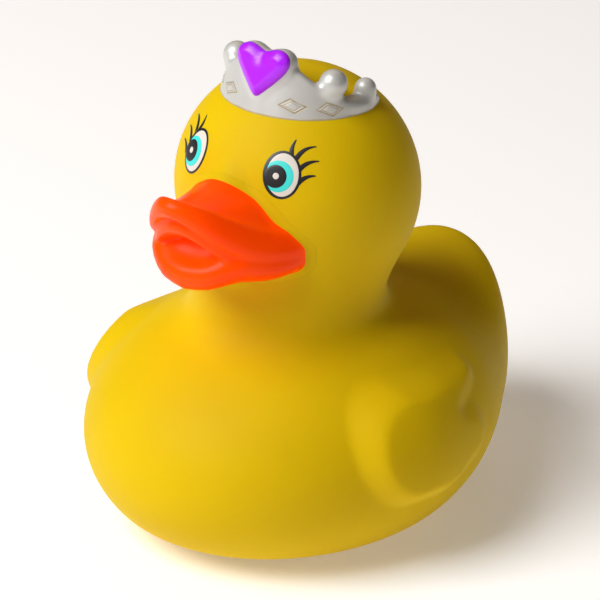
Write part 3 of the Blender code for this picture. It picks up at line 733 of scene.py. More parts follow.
@dataclass(frozen=True)
class WingForm:
    """Raised mitten on each flank, given back from the body's middle and up from the base."""

    relief: float = 2.6
    edge: float = 4.0
    palm: Finger = Finger((-9.1, 22.6, 10.8), (-2.1, 21.2, 9.4))
    tip: Finger = Finger((-7.1, 26.6, 6.4), (10.7, 29.2, 3.4))
    lobe: Finger = Finger((-3.1, 19.4, 7.2), (6.3, 19.8, 6.0))
    notch_blend: float = 0.6
    palm_blend: float = 2.5
    fade_share: float = 0.6
    fade_start: float = -8.1
    fade_length: float = 16.0
    side_start: float = 12.0
    side_run: float = 6.0

    def rise(self, points: np.ndarray, body_along: float) -> np.ndarray:
        """Measure how far the wing stands out from the flank.

        Args:
            points: Places in millimetres.
            body_along: Y of the body's middle.

        Returns:
            The wing's relief at each place.
        """
        along, up = points[..., 1] - body_along, points[..., 2]
        fingers = join(self.tip.distance(along, up), self.lobe.distance(along, up), self.notch_blend)
        outline = join(self.palm.distance(along, up), fingers, self.palm_blend)
        fading = 1.0 - self.fade_share * ease((along - self.fade_start) / self.fade_length)
        on_side = ease((np.abs(points[..., 0]) - self.side_start) / self.side_run)
        return self.relief * ease(-outline / self.edge) * fading * on_side


@dataclass(frozen=True)
class DuckForm:
    """Body, tail, neck and head, with the wings raised on the flanks."""

    body: Oval = Oval((0.0, -4.5, 17.3), (34.64, 39.33, 23.2), math.radians(2.9))
    tail: Oval = Oval((0.0, 28.4, 17.2), (17.6, 7.5, 23.6), math.radians(-37.0))
    neck: Oval = Oval((0.0, -8.7, 42.6), (13.8, 12.8, 10.0))
    head: Oval = Oval((0.0, -3.2, 59.6), (21.8, 20.1, 21.2))
    wing: WingForm = WingForm()
    tail_blend: float = 14.2
    base_rounding: float = 6.0
    neck_blend: float = 9.0

    def torso(self, points: np.ndarray) -> np.ndarray:
        """Field of the body and tail before the base is cut flat."""
        return join(self.body.distance(points), self.tail.distance(points), self.tail_blend)

    def headed(self, torso: np.ndarray, points: np.ndarray) -> np.ndarray:
        """Stand a torso on its flat base and add the neck and the head.

        Args:
            torso: The torso's field at each place.
            points: Places in millimetres.

        Returns:
            The whole form's field.
        """
        based = overlap_of(torso, -points[..., 2], self.base_rounding)
        throat = join(based, self.neck.distance(points), self.neck_blend)
        return join(throat, self.head.distance(points), self.neck_blend)

    def plain(self, points: np.ndarray) -> np.ndarray:
        """Field of the duck without its wings."""
        return self.headed(self.torso(points), points)

    def winged(self, points: np.ndarray) -> np.ndarray:
        """Field of the duck with its wings."""
        return self.headed(self.torso(points) - self.wing.rise(points, self.body.centre[1]), points)


@dataclass(frozen=True)
class BillForm:
    """Upper bill with a rolled rim over a palate, and a spoon-shaped lower bill with a thick lip.

    Every place is given from the head's centre.
    """

    head_centre: Triple
    half_width: float = 13.5
    reach: float = 20.4
    plan_power: float = 1.75
    setback: float = 14.4
    root: float = 8.0
    rim_radius: float = 1.6
    rim_height: float = 0.75
    rim_swing: float = 4.95
    rim_fullness: float = 0.5
    rim_span: float = 14.5
    roof_inset: float = 2.0
    roof_fall: float = 0.3
    roof_fall_run: float = 6.0
    roof_drop: float = 0.4
    roof_half_thickness: float = 1.0
    roof_blend: float = 1.5
    bridge: Oval = Oval((0.0, -17.4, 0.5), (7.0, 9.0, 4.7))
    bridge_blend: float = 4.5
    palate: Oval = Oval((0.0, -19.4, -3.8), (10.6, 13.0, 3.8))
    palate_blend: float = 1.2
    droop_ease: float = 0.85
    jaw: Oval = Oval((0.0, -17.4, -6.2), (12.0, 12.2, 4.0))
    lip_radius: float = 2.3
    lip_end_radius: float = 1.5
    lip_blend: float = 2.5
    lip_route: tuple[Triple, ...] = (
        (0.0, -29.4, -7.4),
        (3.5, -29.0, -6.9),
        (6.3, -27.6, -5.6),
        (8.4, -25.4, -4.7),
        (10.2, -21.9, -5.6),
        (11.4, -17.9, -6.0),
        (11.6, -13.4, -5.7),
    )
    tongue: Oval = Oval((0.0, -19.4, -4.2), (10.0, 9.7, 4.7))
    tongue_blend: float = 1.2
    dish: Oval = Oval((0.0, -30.9, -1.4), (7.4, 3.3, 3.3), 0.15)
    dish_edge: float = 1.2
    mouth_crease: float = 0.6
    bridge_fillet: float = 5.0
    side_fillet: float = 1.2
    bridge_run: float = 6.5
    bridge_paint: float = 0.6
    side_paint: float = 0.0
    film: float = 0.05
    film_end: float = -0.55
    film_slope: float = 0.25
    overlap: float = -1.1
    depth: float = 1.8
    seat_depth: float = 1.0
    seat_start: float = -0.3

    def upper(self, offset: np.ndarray) -> np.ndarray:
        """Field of the roof, rim, bridge and palate, from the head's centre."""
        across, along, up = offset[..., 0], offset[..., 1], offset[..., 2]
        from_middle = along + self.setback
        power = self.plan_power
        wide, deep = np.abs(across) / self.half_width, np.abs(from_middle) / self.reach
        near = np.maximum((wide**power + deep**power) ** (1.0 / power), 1e-3)
        steep = np.hypot(wide ** (power - 1.0) / self.half_width, deep ** (power - 1.0) / self.reach)
        edge = (near - 1.0) * near ** (power - 1.0) / np.maximum(steep, 1e-6)
        turn = math.pi / self.rim_span
        angle = turn * np.minimum(across, self.rim_span)
        crest = self.rim_height + self.rim_swing * np.cos(angle) + self.rim_fullness * np.sin(angle) ** 2
        slope = turn * np.sin(angle) * (self.rim_swing - 2.0 * self.rim_fullness * np.cos(angle))
        inward = np.clip(-edge - self.rim_radius, 0.0, self.roof_fall_run)
        level = (up - crest + self.roof_fall * inward) / np.sqrt(1.0 + slope**2)
        rim = np.hypot(edge + self.rim_radius, level) - self.rim_radius
        slab = np.abs(level + self.roof_drop) - self.roof_half_thickness
        roof = overlap_of(edge + self.roof_inset, slab, self.roof_blend)
        drooped = np.stack([across, along, up - crest], axis=-1)
        palate = self.droop_ease * self.palate.distance(drooped)
        bridged = join(join(rim, roof, self.roof_blend), self.bridge.distance(offset), self.bridge_blend)
        return join(bridged, palate, self.palate_blend)

    def lip(self, offset: np.ndarray) -> np.ndarray:
        """Field of the round lip, which tapers along its smooth route."""
        route = np.array(self.lip_route)
        before = np.vstack([2.0 * route[0] - route[1], route[:-1]])
        after = np.vstack([route[1:], 2.0 * route[-1] - route[-2]])
        ends = route[:-1] + route[1:]
        middles = ends / 2.0 - (before[:-1] + after[1:] - ends) / 16.0
        stations = np.empty((2 * len(route) - 1, 3))
        stations[0::2] = route
        stations[1::2] = middles
        radii = np.linspace(self.lip_radius, self.lip_end_radius, len(stations))
        nearest = np.full(offset.shape[:-1], np.inf)
        for number, (start, end) in enumerate(zip(stations[:-1], stations[1:])):
            run = end - start
            share = np.clip(((offset - start) @ run) / (run @ run), 0.0, 1.0)
            reach = np.linalg.norm(offset - start - share[..., None] * run, axis=-1)
            nearest = np.minimum(nearest, reach - radii[number] - (radii[number + 1] - radii[number]) * share)
        return nearest

    def lower(self, offset: np.ndarray) -> np.ndarray:
        """Field of the jaw and its lip, hollowed by the dish."""
        filled = join(self.jaw.distance(offset), self.tongue.distance(offset), self.tongue_blend)
        lipped = join(filled, self.lip(offset), self.lip_blend)
        return overlap_of(lipped, -self.dish.distance(offset), self.dish_edge)

    def distance(self, points: np.ndarray) -> np.ndarray:
        """Field of both halves of the bill, ended inside the head."""
        offset = points - np.asarray(self.head_centre)
        offset[..., 0] = np.abs(offset[..., 0])
        whole = join(self.upper(offset), self.lower(offset), self.mouth_crease)
        return np.maximum(whole, offset[..., 1] + self.root)

    def bridged(self, points: np.ndarray, on_bridge: float, beside: float) -> np.ndarray:
        """Run a value from its size on the bridge to its size beside it."""
        aside = ease(np.abs(points[..., 0]) / self.bridge_run)
        return on_bridge + (beside - on_bridge) * aside

    def moulded(self, duck: np.ndarray, points: np.ndarray) -> np.ndarray:
        """Field of the duck with its bill, and a deep fillet on the bridge."""
        return join(duck, self.distance(points), self.bridged(points, self.bridge_fillet, self.side_fillet))

    def paint(self, duck: np.ndarray, points: np.ndarray) -> np.ndarray:
        """Measure that is positive on the painted side of the fillet and zero at the paint's edge."""
        edge = self.bridged(points, self.bridge_paint, self.side_paint)
        return (duck - self.distance(points)) / 2.0 - edge


@dataclass(frozen=True)
class TiaraForm:
    """Leaning band round the front of the head, with beads, a heart and engraved lozenges."""

    head_centre: Triple
    head_halves: Triple
    seat: float = 17.2
    tilt: float = math.radians(0.5)
    roll: float = math.radians(1.5)
    wall: float = 1.6
    lean: float = math.radians(16.0)
    end: float = math.radians(124.0)
    foot: float = 3.2
    rounding: float = 0.7
    edge_line: tuple[Pair, ...] = (
        (0.0, 6.8),
        (34.0, 6.8),
        (44.0, 5.4),
        (55.0, 3.8),
        (66.0, 2.4),
        (80.0, 1.2),
        (96.0, 0.7),
        (112.0, 0.7),
        (124.0, 0.1),
    )
    edge_smoothing: int = 9
    beads: tuple[Triple, ...] = ((65.5, 4.6, 2.4), (104.0, 2.1, 1.85))
    bead_fillet: float = 1.4
    ledge: tuple[Pair, ...] = ((70.0, 0.9), (84.0, 0.4), (98.0, 0.1))
    ledge_inset: float = 1.0
    ledge_radius: float = 0.8
    ledge_depth: float = 1.6
    lozenges: tuple[Pair, ...] = ((math.radians(30.0), 1.35), (math.radians(58.5), 0.85))
    lozenge_half_width: float = 2.1
    lozenge_half_height: float = 1.1
    lozenge_slant: float = 0.35
    lozenge_puff: float = 0.12
    lozenge_face: float = 0.95
    lozenge_run: float = 0.5
    tip_height: float = 1.7
    heart_half: tuple[Pair, ...] = (
        (0.0, 0.0),
        (0.5, 0.12),
        (1.1, 0.6),
        (2.4, 2.0),
        (3.8, 3.6),
        (4.8, 4.9),
        (5.3, 6.0),
        (5.35, 6.9),
        (4.95, 7.8),
        (4.1, 8.4),
        (3.1, 8.65),
        (2.1, 8.5),
        (1.2, 8.15),
        (0.5, 7.9),
        (0.0, 7.8),
    )
    border: float = 0.2
    back_thickness: float = 3.3
    back_edge: float = 1.6
    back_fillet: float = 1.0
    jewel_seat: float = 0.2
    puff: float = 1.0
    puff_run: float = 2.2
    puff_start: float = 0.25
    jewel_edge: float = 0.5
    dent: float = 0.4
    dent_radius: float = 1.4
    dent_drop: float = 0.9
    droop_ease: float = 0.85

    def ring_radii(self) -> Pair:
        """Radii of the band's middle where it meets the head, across and forward."""
        ratio = math.sqrt(1.0 - (self.seat / self.head_halves[2]) ** 2)
        return self.head_halves[0] * ratio, self.head_halves[1] * ratio

    def placed(self, points: np.ndarray) -> tuple[np.ndarray, np.ndarray, np.ndarray]:
        """Turn places into the tilted tiara's across, forward and up."""
        offset = points - np.asarray(self.head_centre)
        cosine, sine = math.cos(self.roll), math.sin(self.roll)
        across = cosine * offset[..., 0] - sine * offset[..., 2]
        rise = sine * offset[..., 0] + cosine * offset[..., 2]
        cosine, sine = math.cos(self.tilt), math.sin(self.tilt)
        forward = -cosine * offset[..., 1] + sine * rise
        up = sine * offset[..., 1] + cosine * rise - self.seat
        return across, forward, up

    def edge_height(self, angle: np.ndarray) -> np.ndarray:
        """Height of the band's upper edge at each angle from the front."""
        degrees = np.arange(0.0, 181.0)
        knots = [knot for knot, _ in self.edge_line]
        heights = [height for _, height in self.edge_line]
        both_sides = np.concatenate([-degrees[:0:-1], degrees])
        raw = np.interp(both_sides, [-knot for knot in knots[::-1]] + knots, heights[::-1] + heights)
        kernel = np.ones(self.edge_smoothing) / self.edge_smoothing
        smooth = np.convolve(np.pad(raw, self.edge_smoothing // 2, mode="edge"), kernel, mode="valid")
        return np.interp(np.degrees(angle), degrees, smooth[180:])

    def band(self, points: np.ndarray) -> np.ndarray:
        """Field of the band, with its lozenges puffed a little."""
        across, forward, up = self.placed(points)
        wide, deep = self.ring_radii()
        scaled = across * deep / wide
        radius = np.hypot(scaled, forward)
        angle = np.abs(np.arctan2(scaled, forward))
        outward = (radius - deep + math.tan(self.lean) * up) * math.cos(self.lean)
        puffed = 0.0
        for centre_angle, centre_height in self.lozenges:
            rise = up - centre_height
            flat = np.abs((angle - centre_angle) * deep + self.lozenge_slant * rise) / self.lozenge_half_width
            tall = np.abs(rise) / self.lozenge_half_height
            face = ease((self.lozenge_face - flat - tall) / self.lozenge_run)
            puffed = puffed + self.lozenge_puff * face * (outward > 0.0)
        wall = np.abs(outward) - self.wall / 2.0 - puffed
        top = (up - self.edge_height(angle)) * self.droop_ease
        strip = overlap_of(wall, np.maximum(top, -self.foot - up), self.rounding)
        return overlap_of(strip, (angle - self.end) * deep, self.rounding)

    def spot(self, angle: float, height: float, inset: float) -> Triple:
        """Place on the tiara's left side, as across, forward and up.

        Args:
            angle: Angle from the front in degrees.
            height: Height above the ring.
            inset: How far in from the leaning wall.

        Returns:
            The place in the tiara's own directions.
        """
        wide, deep = self.ring_radii()
        ring = deep - math.tan(self.lean) * height - inset
        turn = math.radians(angle)
        return ring * wide / deep * math.sin(turn), ring * math.cos(turn), height

    def silver(self, points: np.ndarray) -> np.ndarray:
        """Field of the band, beads, ledges and the heart's back."""
        across, forward, up = self.placed(points)
        folded = np.stack([np.abs(across), forward, up], axis=-1)
        whole = self.band(points)
        shelf = [np.array(self.spot(angle, height, self.ledge_inset)) for angle, height in self.ledge]
        for one, other in zip(shelf[:-1], shelf[1:]):
            run = other - one
            share = np.clip(((folded - one) @ run) / (run @ run), 0.0, 1.0)
            offset = folded - one - share[..., None] * run
            reach = np.hypot(np.hypot(offset[..., 0], offset[..., 1]) / self.ledge_depth, offset[..., 2])
            whole = join(whole, reach - self.ledge_radius, self.bead_fillet)
        for angle, height, radius in self.beads:
            bead = np.linalg.norm(folded - np.array(self.spot(angle, height, 0.0)), axis=-1) - radius
            whole = join(whole, bead, self.bead_fillet)
        return join(whole, self.heart_back(points), self.back_fillet)

    def heart_places(self, points: np.ndarray) -> tuple[np.ndarray, np.ndarray, np.ndarray]:
        """Across, up the lean and out of the heart's face."""
        across, forward, up = self.placed(points)
        _, deep = self.ring_radii()
        cosine, sine = math.cos(self.lean), math.sin(self.lean)
        outward = cosine * (forward - deep) + sine * up
        return np.abs(across), cosine * up - sine * (forward - deep), outward

    def heart_outline(self, across: np.ndarray, along: np.ndarray) -> np.ndarray:
        """Plan field of the heart, from its half outline with the corners cut."""
        line = np.array(self.heart_half)
        for _ in range(2):
            cut = np.empty((2 * len(line) - 2, 2))
            cut[0::2] = 0.75 * line[:-1] + 0.25 * line[1:]
            cut[1::2] = 0.25 * line[:-1] + 0.75 * line[1:]
            line = np.vstack([line[:1], cut, line[-1:]])
        nearest = np.full(across.shape, np.inf)
        inside = np.zeros(across.shape, dtype=bool)
        for start, end in zip(line[:-1], line[1:]):
            run, rise = end - start
            side, up = across - start[0], along - self.tip_height - start[1]
            share = np.clip((side * run + up * rise) / (run**2 + rise**2), 0.0, 1.0)
            nearest = np.minimum(nearest, np.hypot(side - share * run, up - share * rise))
            if rise != 0.0:
                inside ^= ((up < 0.0) != (up < rise)) & (side < up * run / rise)
        return np.where(inside, -nearest, nearest)

    def heart_back(self, points: np.ndarray) -> np.ndarray:
        """Field of the thick silver heart."""
        across, along, outward = self.heart_places(points)
        outline = self.heart_outline(across, along) - self.border
        front = outward - self.wall / 2.0 - self.jewel_seat
        back = -outward - self.back_thickness + self.wall / 2.0
        return overlap_of(outline, np.maximum(front, back), self.back_edge)

    def jewel(self, points: np.ndarray) -> np.ndarray:
        """Field of the puffed heart."""
        across, along, outward = self.heart_places(points)
        outline = self.heart_outline(across, along)
        dent_centre = self.tip_height + self.heart_half[-1][1] - self.dent_drop
        dent = self.dent * np.exp(-(across**2 + (along - dent_centre) ** 2) / self.dent_radius**2)
        crown = self.puff * ease(self.puff_start - outline / self.puff_run) - dent
        puffed = outward - self.wall / 2.0 - self.jewel_seat - crown
        return overlap_of(outline, np.maximum(puffed, -outward), self.jewel_edge)


# Pieces


@dataclass(frozen=True)
class SqueakerSeat:
    """Recess and bore in the base, sized from the squeaker that they hold."""

    flange_radius: float
    barrel_radius: float
    gap: float = 0.3
    recess_depth: float = 1.5
    wall: float = 2.0
    past: float = 1.0

    @classmethod
    def around(cls, node: str, groove: float = 2.0) -> "SqueakerSeat":
        """Size the seat from the housing's box.

        Args:
            node: The housing's node.
            groove: How much smaller the barrel is than the flange.

        Returns:
            The seat.
        """
        low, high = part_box(node)
        flange = (high[0] - low[0]) / 2.0 / MM
        return cls(flange_radius=flange, barrel_radius=flange - groove)

    def cut(self, shell: bpy.types.Object) -> None:
        """Build up the wall over the recess and cut the seat."""
        top = self.recess_depth + self.wall
        recess_radius = self.flange_radius + self.gap
        carve(shell, "UNION", add_disc("recess_boss", recess_radius + self.wall, self.wall / 2.0, top))
        carve(shell, "DIFFERENCE", add_disc("recess", recess_radius, -self.past, self.recess_depth))
        bore = add_disc("bore", self.barrel_radius + self.gap, -self.past, top + self.past)
        carve(shell, "DIFFERENCE", bore)


@dataclass
class VinylBody:
    """The hollow yellow moulding."""

    form: DuckForm
    bill: BillForm
    seat: SqueakerSeat
    finish: MouldedFinish
    cell: float = 0.8
    cavity_cell: float = 2.6
    wall: float = 2.0
    crease: float = 40.0
    low: Triple = (-39.0, -47.0, -3.0)
    high: Triple = (39.0, 47.0, 83.8)

    def outer(self, points: np.ndarray) -> np.ndarray:
        """Field of the skin, with the fillet that runs up to the paint of the bill."""
        duck = self.form.winged(points)
        under_bill = self.bill.paint(duck, points) - self.bill.seat_start
        seat = np.minimum(under_bill, duck + self.bill.seat_depth)
        return np.maximum(self.bill.moulded(duck, points), seat)

    def inner(self, points: np.ndarray) -> np.ndarray:
        """Field of the hollow."""
        return self.form.plain(points) + self.wall

    def build(self) -> bpy.types.Object:
        """Make and dress the moulding."""
        skin = Skinner(self.cell).skin("vinyl_body", self.outer, self.low, self.high)
        hollow = Skinner(self.cavity_cell).skin("cavity", self.inner, self.low, self.high)
        carve(skin, "DIFFERENCE", hollow)
        self.seat.cut(skin)
        deselect_all()
        skin.select_set(True)
        bpy.context.view_layer.objects.active = skin
        bpy.ops.object.shade_smooth_by_angle(angle=math.radians(self.crease))
        dress(skin, self.finish.build())
        return declare(skin)


@dataclass
class PaintedBill:
    """The bill, painted up to the fillet where it leaves the head."""

    form: DuckForm
    bill: BillForm
    finish: PaintedFinish
    cell: float = 0.42
    crease: float = 60.0
    box_half_width: float = 16.5
    room_ahead: float = 2.0
    room_behind: float = 3.0
    room_below: float = 12.0
    room_above: float = 11.0

    def painted(self, points: np.ndarray) -> np.ndarray:
        """Field of the painted part of the moulding."""
        duck = self.form.plain(points)
        paint = self.bill.paint(duck, points)
        sinking = self.bill.film_slope * np.minimum(paint - self.bill.film_end, 0.0)
        moulding = self.bill.moulded(duck, points) - self.bill.film - sinking
        end = np.maximum(self.bill.overlap - paint, -duck - self.bill.depth)
        return np.maximum(moulding, end)

    def build(self) -> bpy.types.Object:
        """Make and dress the bill."""
        _, head_y, head_z = self.form.head.centre
        front = head_y - self.bill.setback - self.bill.reach - self.room_ahead
        back = head_y - self.bill.root + self.room_behind
        low = (-self.box_half_width, front, head_z - self.room_below)
        high = (self.box_half_width, back, head_z + self.room_above)
        piece = Skinner(self.cell).skin("painted_bill", self.painted, low, high, self.crease)
        points = np.array([vertex.co for vertex in piece.data.vertices]) / MM
        values = self.bill.paint(self.form.plain(points), points)
        piece.data.attributes.new(self.finish.attribute, "FLOAT", "POINT").data.foreach_set("value", values)
        dress(piece, self.finish.build())
        return declare(piece)


@dataclass
class Tiara:
    """Silver tiara and its coloured heart, each meshed between corners given from the ring's middle."""

    form: TiaraForm
    pearl: PearlFinish
    jewel: MouldedFinish
    cell: float = 0.34
    jewel_cell: float = 0.26
    crease: float = 50.0
    corners: tuple[Triple, Triple] = ((-17.5, -18.0, -5.5), (17.5, 14.0, 14.0))
    jewel_corners: tuple[Triple, Triple] = ((-7.0, -18.0, 0.0), (7.0, -4.0, 14.0))

    def build(self) -> list[bpy.types.Object]:
        """Make and dress both pieces."""
        middle = np.asarray(self.form.head_centre) + (0.0, 0.0, self.form.seat)
        low, high = middle + np.asarray(self.corners)
        band = Skinner(self.cell, rounds=2).skin("silver_tiara", self.form.silver, low, high, self.crease)
        dress(band, self.pearl.build())
        low, high = middle + np.asarray(self.jewel_corners)
        heart = Skinner(self.jewel_cell).skin("painted_heart", self.form.jewel, low, high, self.crease)
        dress(heart, self.jewel.build())
        return [declare(band), declare(heart)]


@dataclass
class EyePrint:
    """The printed inks of one eye, laid on the head; both eyes look the same way."""

    side: Side
    head: Oval
    black: PlainFinish
    white: PlainFinish
    turquoise: PlainFinish
    azimuth: float = math.radians(29.5)
    elevation: float = math.radians(25.0)
    outline: tuple[Pair, Pair] = ((0.2, -0.1), (3.3, 4.1))
    sclera: tuple[Pair, Pair] = ((0.3, -0.1), (2.75, 3.65))
    iris: tuple[Pair, Pair] = ((-0.42, -0.39), (2.65, 2.65))
    pupil: tuple[Pair, Pair] = ((-0.88, -0.43), (1.93, 1.93))
    glint: tuple[Pair, Pair] = ((-0.76, -0.37), (0.54, 0.54))
    lashes: tuple[tuple[Pair, Pair, float], ...] = (
        ((1.64, 3.55), (2.05, 6.2), 0.3),
        ((2.7, 3.0), (5.7, 5.4), 0.55),
        ((3.4, 1.1), (6.4, 2.8), 0.48),
        ((3.4, -1.15), (6.0, 0.2), 0.42),
    )
    lash_width: float = 0.95
    lash_root: float = 0.5
    lash_stations: int = 14
    lash_taper: float = 0.75
    lash_taper_power: float = 1.3
    lash_core: float = 0.4
    ring_shares: tuple[float, ...] = (1.0, 0.97, 0.8, 0.6, 0.4, 0.2, 0.08)
    layer: float = 0.04
    rounded_share: float = 0.6
    root: float = 0.25
    corners: int = 72
    crease: float = 60.0

    def frame(self) -> tuple[np.ndarray, np.ndarray, np.ndarray, np.ndarray]:
        """Find the eye's centre on the head, its outward direction, and those across and up."""
        level = math.cos(self.elevation)
        turn = self.side.value * math.sin(self.azimuth) * level
        aim = np.array([turn, -math.cos(self.azimuth) * level, math.sin(self.elevation)])
        halves = np.asarray(self.head.halves)
        centre = aim / np.linalg.norm(aim / halves)
        outward = centre / halves**2
        outward /= np.linalg.norm(outward)
        upward = np.array([0.0, 0.0, 1.0]) - outward * outward[2]
        upward /= np.linalg.norm(upward)
        across = np.cross(upward, outward)
        return centre + np.asarray(self.head.centre), outward, across * math.copysign(1.0, across[0]), upward

    def film(self, rings: list[np.ndarray], level: Ink) -> tuple[np.ndarray, list]:
        """Lay nested plan rings on the head as a thin closed film.

        Args:
            rings: Plan points from the outline inwards, all with the same count.
            level: Which layer of ink it is.

        Returns:
            Its points and faces.
        """
        centre, outward, across, upward = self.frame()
        plan = np.concatenate(rings)
        spread = centre + plan[:, :1] * across + plan[:, 1:] * upward
        on_head = settle(self.head.distance, spread)
        rounded = np.full(len(plan), self.layer * level)
        rounded[: len(rings[0])] -= self.layer * self.rounded_share
        top = on_head + rounded[:, None] * outward
        under = on_head - self.root * outward
        size, count = len(plan), len(rings[0])
        faces = []
        for number in range(len(rings) - 1):
            for step in range(count):
                onward = (step + 1) % count
                face = [number * count + step, number * count + onward]
                face += [(number + 1) * count + onward, (number + 1) * count + step]
                faces.append(face)
                faces.append([size + corner for corner in face[::-1]])
        last = (len(rings) - 1) * count
        faces.append([last + step for step in range(count)])
        faces.append([size + last + step for step in range(count)][::-1])
        for step in range(count):
            onward = (step + 1) % count
            faces.append([step, size + step, size + onward, onward])
        return np.concatenate([top, under]), faces

    def oval_rings(
        self, shape: tuple[Pair, Pair], within: tuple[Pair, Pair] | None = None
    ) -> list[np.ndarray]:
        """Draw an oval's nested rings.

        Args:
            shape: The oval's centre and half sizes.
            within: An oval that it may not leave, or None.

        Returns:
            Its rings from the outline inwards.
        """
        turns = np.arange(self.corners) * 2.0 * math.pi / self.corners
        middle, halves = np.asarray(shape[0]), np.asarray(shape[1])
        outline = np.stack([np.cos(turns), np.sin(turns)], axis=-1) * halves + middle
        if within is not None:
            holder, limits = np.asarray(within[0]), np.asarray(within[1])
            reach = np.linalg.norm((outline - holder) / limits, axis=-1)
            outline = holder + (outline - holder) / np.maximum(reach, 1.0)[:, None]
        centre = outline.mean(axis=0)
        return [centre + (outline - centre) * share for share in self.ring_shares]

    def lash_rings(self, root: Pair, tip: Pair, bulge: float) -> list[np.ndarray]:
        """Draw one tapered, curved lash.

        Args:
            root: Where it leaves the eye.
            tip: Where it ends.
            bulge: How far its middle stands off the straight line.

        Returns:
            Its outline, and its spine inside it.
        """
        start, end = np.asarray(root), np.asarray(tip)
        along = end - start
        start = start - self.lash_root * along / np.linalg.norm(along)
        along = end - start
        sideways = np.array([-along[1], along[0]]) / np.linalg.norm(along)
        shares = np.linspace(0.0, 1.0, self.lash_stations)[:, None]
        spine = start + shares * along + 4.0 * bulge * shares * (1.0 - shares) * sideways
        half = self.lash_width / 2.0 * (1.0 - self.lash_taper * shares**self.lash_taper_power) * sideways
        mirror = np.array([self.side.value, 1.0])
        rings = []
        for share in (1.0, self.lash_core):
            ring = np.concatenate([spine + share * half, (spine - share * half)[::-1]])
            rings.append(ring * mirror)
        return rings

    def piece(self, name: str, films: list[tuple[np.ndarray, list]], finish: PlainFinish) -> bpy.types.Object:
        """Join films of one ink into one piece."""
        points, faces, first = [], [], 0
        for film_points, film_faces in films:
            points.append(film_points)
            faces += [[first + corner for corner in face] for face in film_faces]
            first += len(film_points)
        item = add_mesh(f"{self.side.name.lower()}_eye_{name}", np.concatenate(points), faces, self.crease)
        dress(item, finish.build())
        return declare(item)

    def build(self) -> list[bpy.types.Object]:
        """Make and dress the eye's inks."""
        dark = [self.film(self.oval_rings(self.outline), Ink.OUTLINE)]
        dark += [self.film(self.lash_rings(*lash), Ink.OUTLINE) for lash in self.lashes]
        dark.append(self.film(self.oval_rings(self.pupil, self.outline), Ink.PUPIL))
        pale = [self.film(self.oval_rings(self.sclera), Ink.WHITE)]
        pale.append(self.film(self.oval_rings(self.glint), Ink.GLINT))
        tint = [self.film(self.oval_rings(self.iris, self.sclera), Ink.IRIS)]
        return [
            self.piece("black", dark, self.black),
            self.piece("white", pale, self.white),
            self.piece("turquoise", tint, self.turquoise),
        ]


@dataclass(frozen=True)
class Squeaker:
    """Finishes of the squeaker's three pieces, which keep the row's own shapes."""

    housing: PlainFinish
    block: PlainFinish
    reed: PlainFinish

    def dress_nodes(self, nodes: dict) -> None:
        """Give each of the squeaker's nodes its finish."""
        pairs = (
            ("squeaker_housing", self.housing),
            ("squeaker_reed_block", self.block),
            ("squeaker_reed", self.reed),
        )
        for name, finish in pairs:
            dress(nodes[name], finish.build())
            LOG.info("%s: dressed", name)


@dataclass(frozen=True)
class Lamp:
    """A soft square light: degrees round from the front and up, metres, watts."""

    name: str
    azimuth: float
    elevation: float
    distance: float
    size: float
    power: float
    colour: Triple = (1.0, 1.0, 1.0)


@dataclass(frozen=True)
class Studio:
    """Floor, soft light and the camera at the photo's angle."""

    target: Triple = (0.0, -2.6, 40.0)
    azimuth: float = math.radians(38.0)
    elevation: float = math.radians(23.5)
    distance: float = 600.0
    lens: float = 207.36
    shift: Pair = (0.0007, -0.0240)
    floor_size: float = 6.0
    floor_colour: Triple = (0.98, 0.98, 0.98)
    floor_roughness: float = 0.9
    floor_glow: float = 0.22
    world_colour: Triple = (1.0, 0.86, 0.72)
    world_strength: float = 0.045
    lamps: tuple[Lamp, ...] = (
        Lamp("key", -25.0, 46.0, 1.2, 0.8, 16.6),
        Lamp("front_fill", 50.0, 25.0, 1.5, 1.2, 0.9, (1.0, 0.66, 0.4)),
        Lamp("back_light", 215.0, 52.0, 0.9, 0.8, 1.0, (1.0, 0.7, 0.45)),
    )

    @staticmethod
    def direction(azimuth: float, elevation: float) -> np.ndarray:
        """Unit direction from the target, with azimuth 0 in front of the duck."""
        level = math.cos(elevation)
        return np.array([math.sin(azimuth) * level, -math.cos(azimuth) * level, math.sin(elevation)])

    def light(self, lamp: Lamp) -> None:
        """Add one lamp that faces the duck."""
        data = bpy.data.lights.new(lamp.name, "AREA")
        data.shape = "SQUARE"
        data.size = lamp.size
        data.energy = lamp.power
        data.color = lamp.colour
        item = bpy.data.objects.new(lamp.name, data)
        bpy.context.scene.collection.objects.link(item)
        way = Vector(self.direction(math.radians(lamp.azimuth), math.radians(lamp.elevation)))
        item.location = Vector(self.target) * MM + way * lamp.distance
        item.rotation_euler = way.to_track_quat("Z", "Y").to_euler()

    def build(self) -> None:
        """Set up the stage."""
        deselect_all()
        bpy.ops.mesh.primitive_plane_add(size=self.floor_size, location=(0.0, 0.0, 0.0))
        floor = bpy.context.object
        floor.name = "floor"
        pale = PlainFinish("pale_floor", self.floor_colour, self.floor_roughness, glow=self.floor_glow)
        dress(floor, pale.build())
        for lamp in self.lamps:
            self.light(lamp)
        world = bpy.data.worlds.new("studio")
        world.use_nodes = True
        background = world.node_tree.nodes["Background"]
        background.inputs["Color"].default_value = (*self.world_colour, 1.0)
        background.inputs["Strength"].default_value = self.world_strength
        scene = bpy.context.scene
        scene.world = world
        scene.view_settings.view_transform = "Standard"
        data = bpy.data.cameras.new("photo_angle")
        data.lens = self.lens
        data.sensor_width = 36.0
        data.shift_x, data.shift_y = self.shift
        data.clip_end = 20.0
        camera = bpy.data.objects.new("photo_angle", data)
        scene.collection.objects.link(camera)
        way = Vector(self.direction(self.azimuth, self.elevation))
        camera.location = (Vector(self.target) + way * self.distance) * MM
        camera.rotation_euler = way.to_track_quat("Z", "Y").to_euler()
        scene.camera = camera


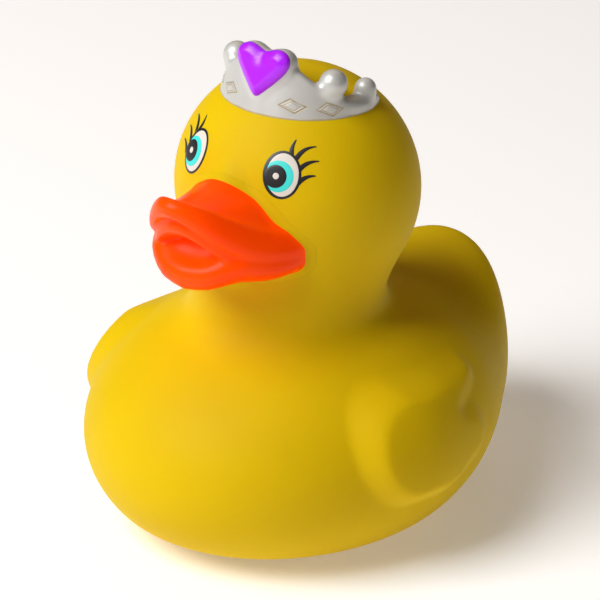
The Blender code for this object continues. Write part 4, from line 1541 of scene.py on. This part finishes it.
YELLOW = MouldedFinish(
    name="yellow_vinyl",
    colour=(0.74, 0.5, 0.002),
    shade=(0.71, 0.475, 0.002),
    roughness=0.55,
    gloss=0.08,
    soft=0.25,
    soft_radius=(2.0, 1.0, 0.2),
    scale=45.0,
    fine_scale=1500.0,
    fine_share=0.5,
    depth=0.02,
)
ORANGE = MouldedFinish(
    name="orange_paint",
    colour=(0.98, 0.076, 0.0),
    shade=(0.95, 0.066, 0.0),
    roughness=0.3,
    gloss=0.09,
    # The red glow is painted light: it keeps the orange bill bright where it lies in shade.
    glow=(1.0, 0.03, 0.0),
    painted_glow_strength=0.26,
    coat=0.05,
    coat_roughness=0.14,
    scale=120.0,
    depth=0.02,
)
PURPLE = MouldedFinish(
    name="purple_paint",
    colour=(0.46, 0.014, 1.0),
    shade=(0.43, 0.012, 0.96),
    roughness=0.32,
    gloss=0.35,
    coat=0.2,
    coat_roughness=0.1,
    scale=200.0,
    depth=0.02,
)
SILVER = (0.62, 0.62, 0.59)
WORN_SILVER = (0.42, 0.28, 0.05)
BLACK_INK = PlainFinish("black_ink", (0.01, 0.01, 0.012), roughness=0.4)
WHITE_INK = PlainFinish("white_ink", (0.76, 0.7, 0.63), roughness=0.45)
TURQUOISE_INK = PlainFinish("turquoise_ink", (0.05, 0.75, 0.70), roughness=0.45)
WHITE_POLYTHENE = PlainFinish("white_polythene", (0.8, 0.8, 0.77), roughness=0.45)
GREY_STYRENE = PlainFinish("grey_styrene", (0.3, 0.3, 0.32), roughness=0.4)
REED_BRASS = PlainFinish("reed_brass", (0.7, 0.5, 0.18), roughness=0.3, metallic=1.0)


def main() -> None:
    """Build the duck's pieces in order and set up the stage."""
    logging.basicConfig(level=logging.INFO, format="%(name)s: %(message)s")
    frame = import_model()
    form = DuckForm()
    bill = BillForm(head_centre=form.head.centre)
    tiara = TiaraForm(head_centre=form.head.centre, head_halves=form.head.halves)
    VinylBody(form, bill, SqueakerSeat.around("squeaker_housing"), YELLOW).build()
    PaintedBill(form, bill, PaintedFinish("bill_paint", YELLOW, ORANGE)).build()
    pearl = PearlFinish("pearl_silver", SILVER, WORN_SILVER, form.head, tiara)
    Tiara(tiara, pearl, PURPLE).build()
    for side in Side:
        EyePrint(side, form.head, BLACK_INK, WHITE_INK, TURQUOISE_INK).build()
    Squeaker(WHITE_POLYTHENE, GREY_STYRENE, REED_BRASS).dress_nodes(frame["nodes"])
    Studio().build()


if __name__ == "__main__":
    main()
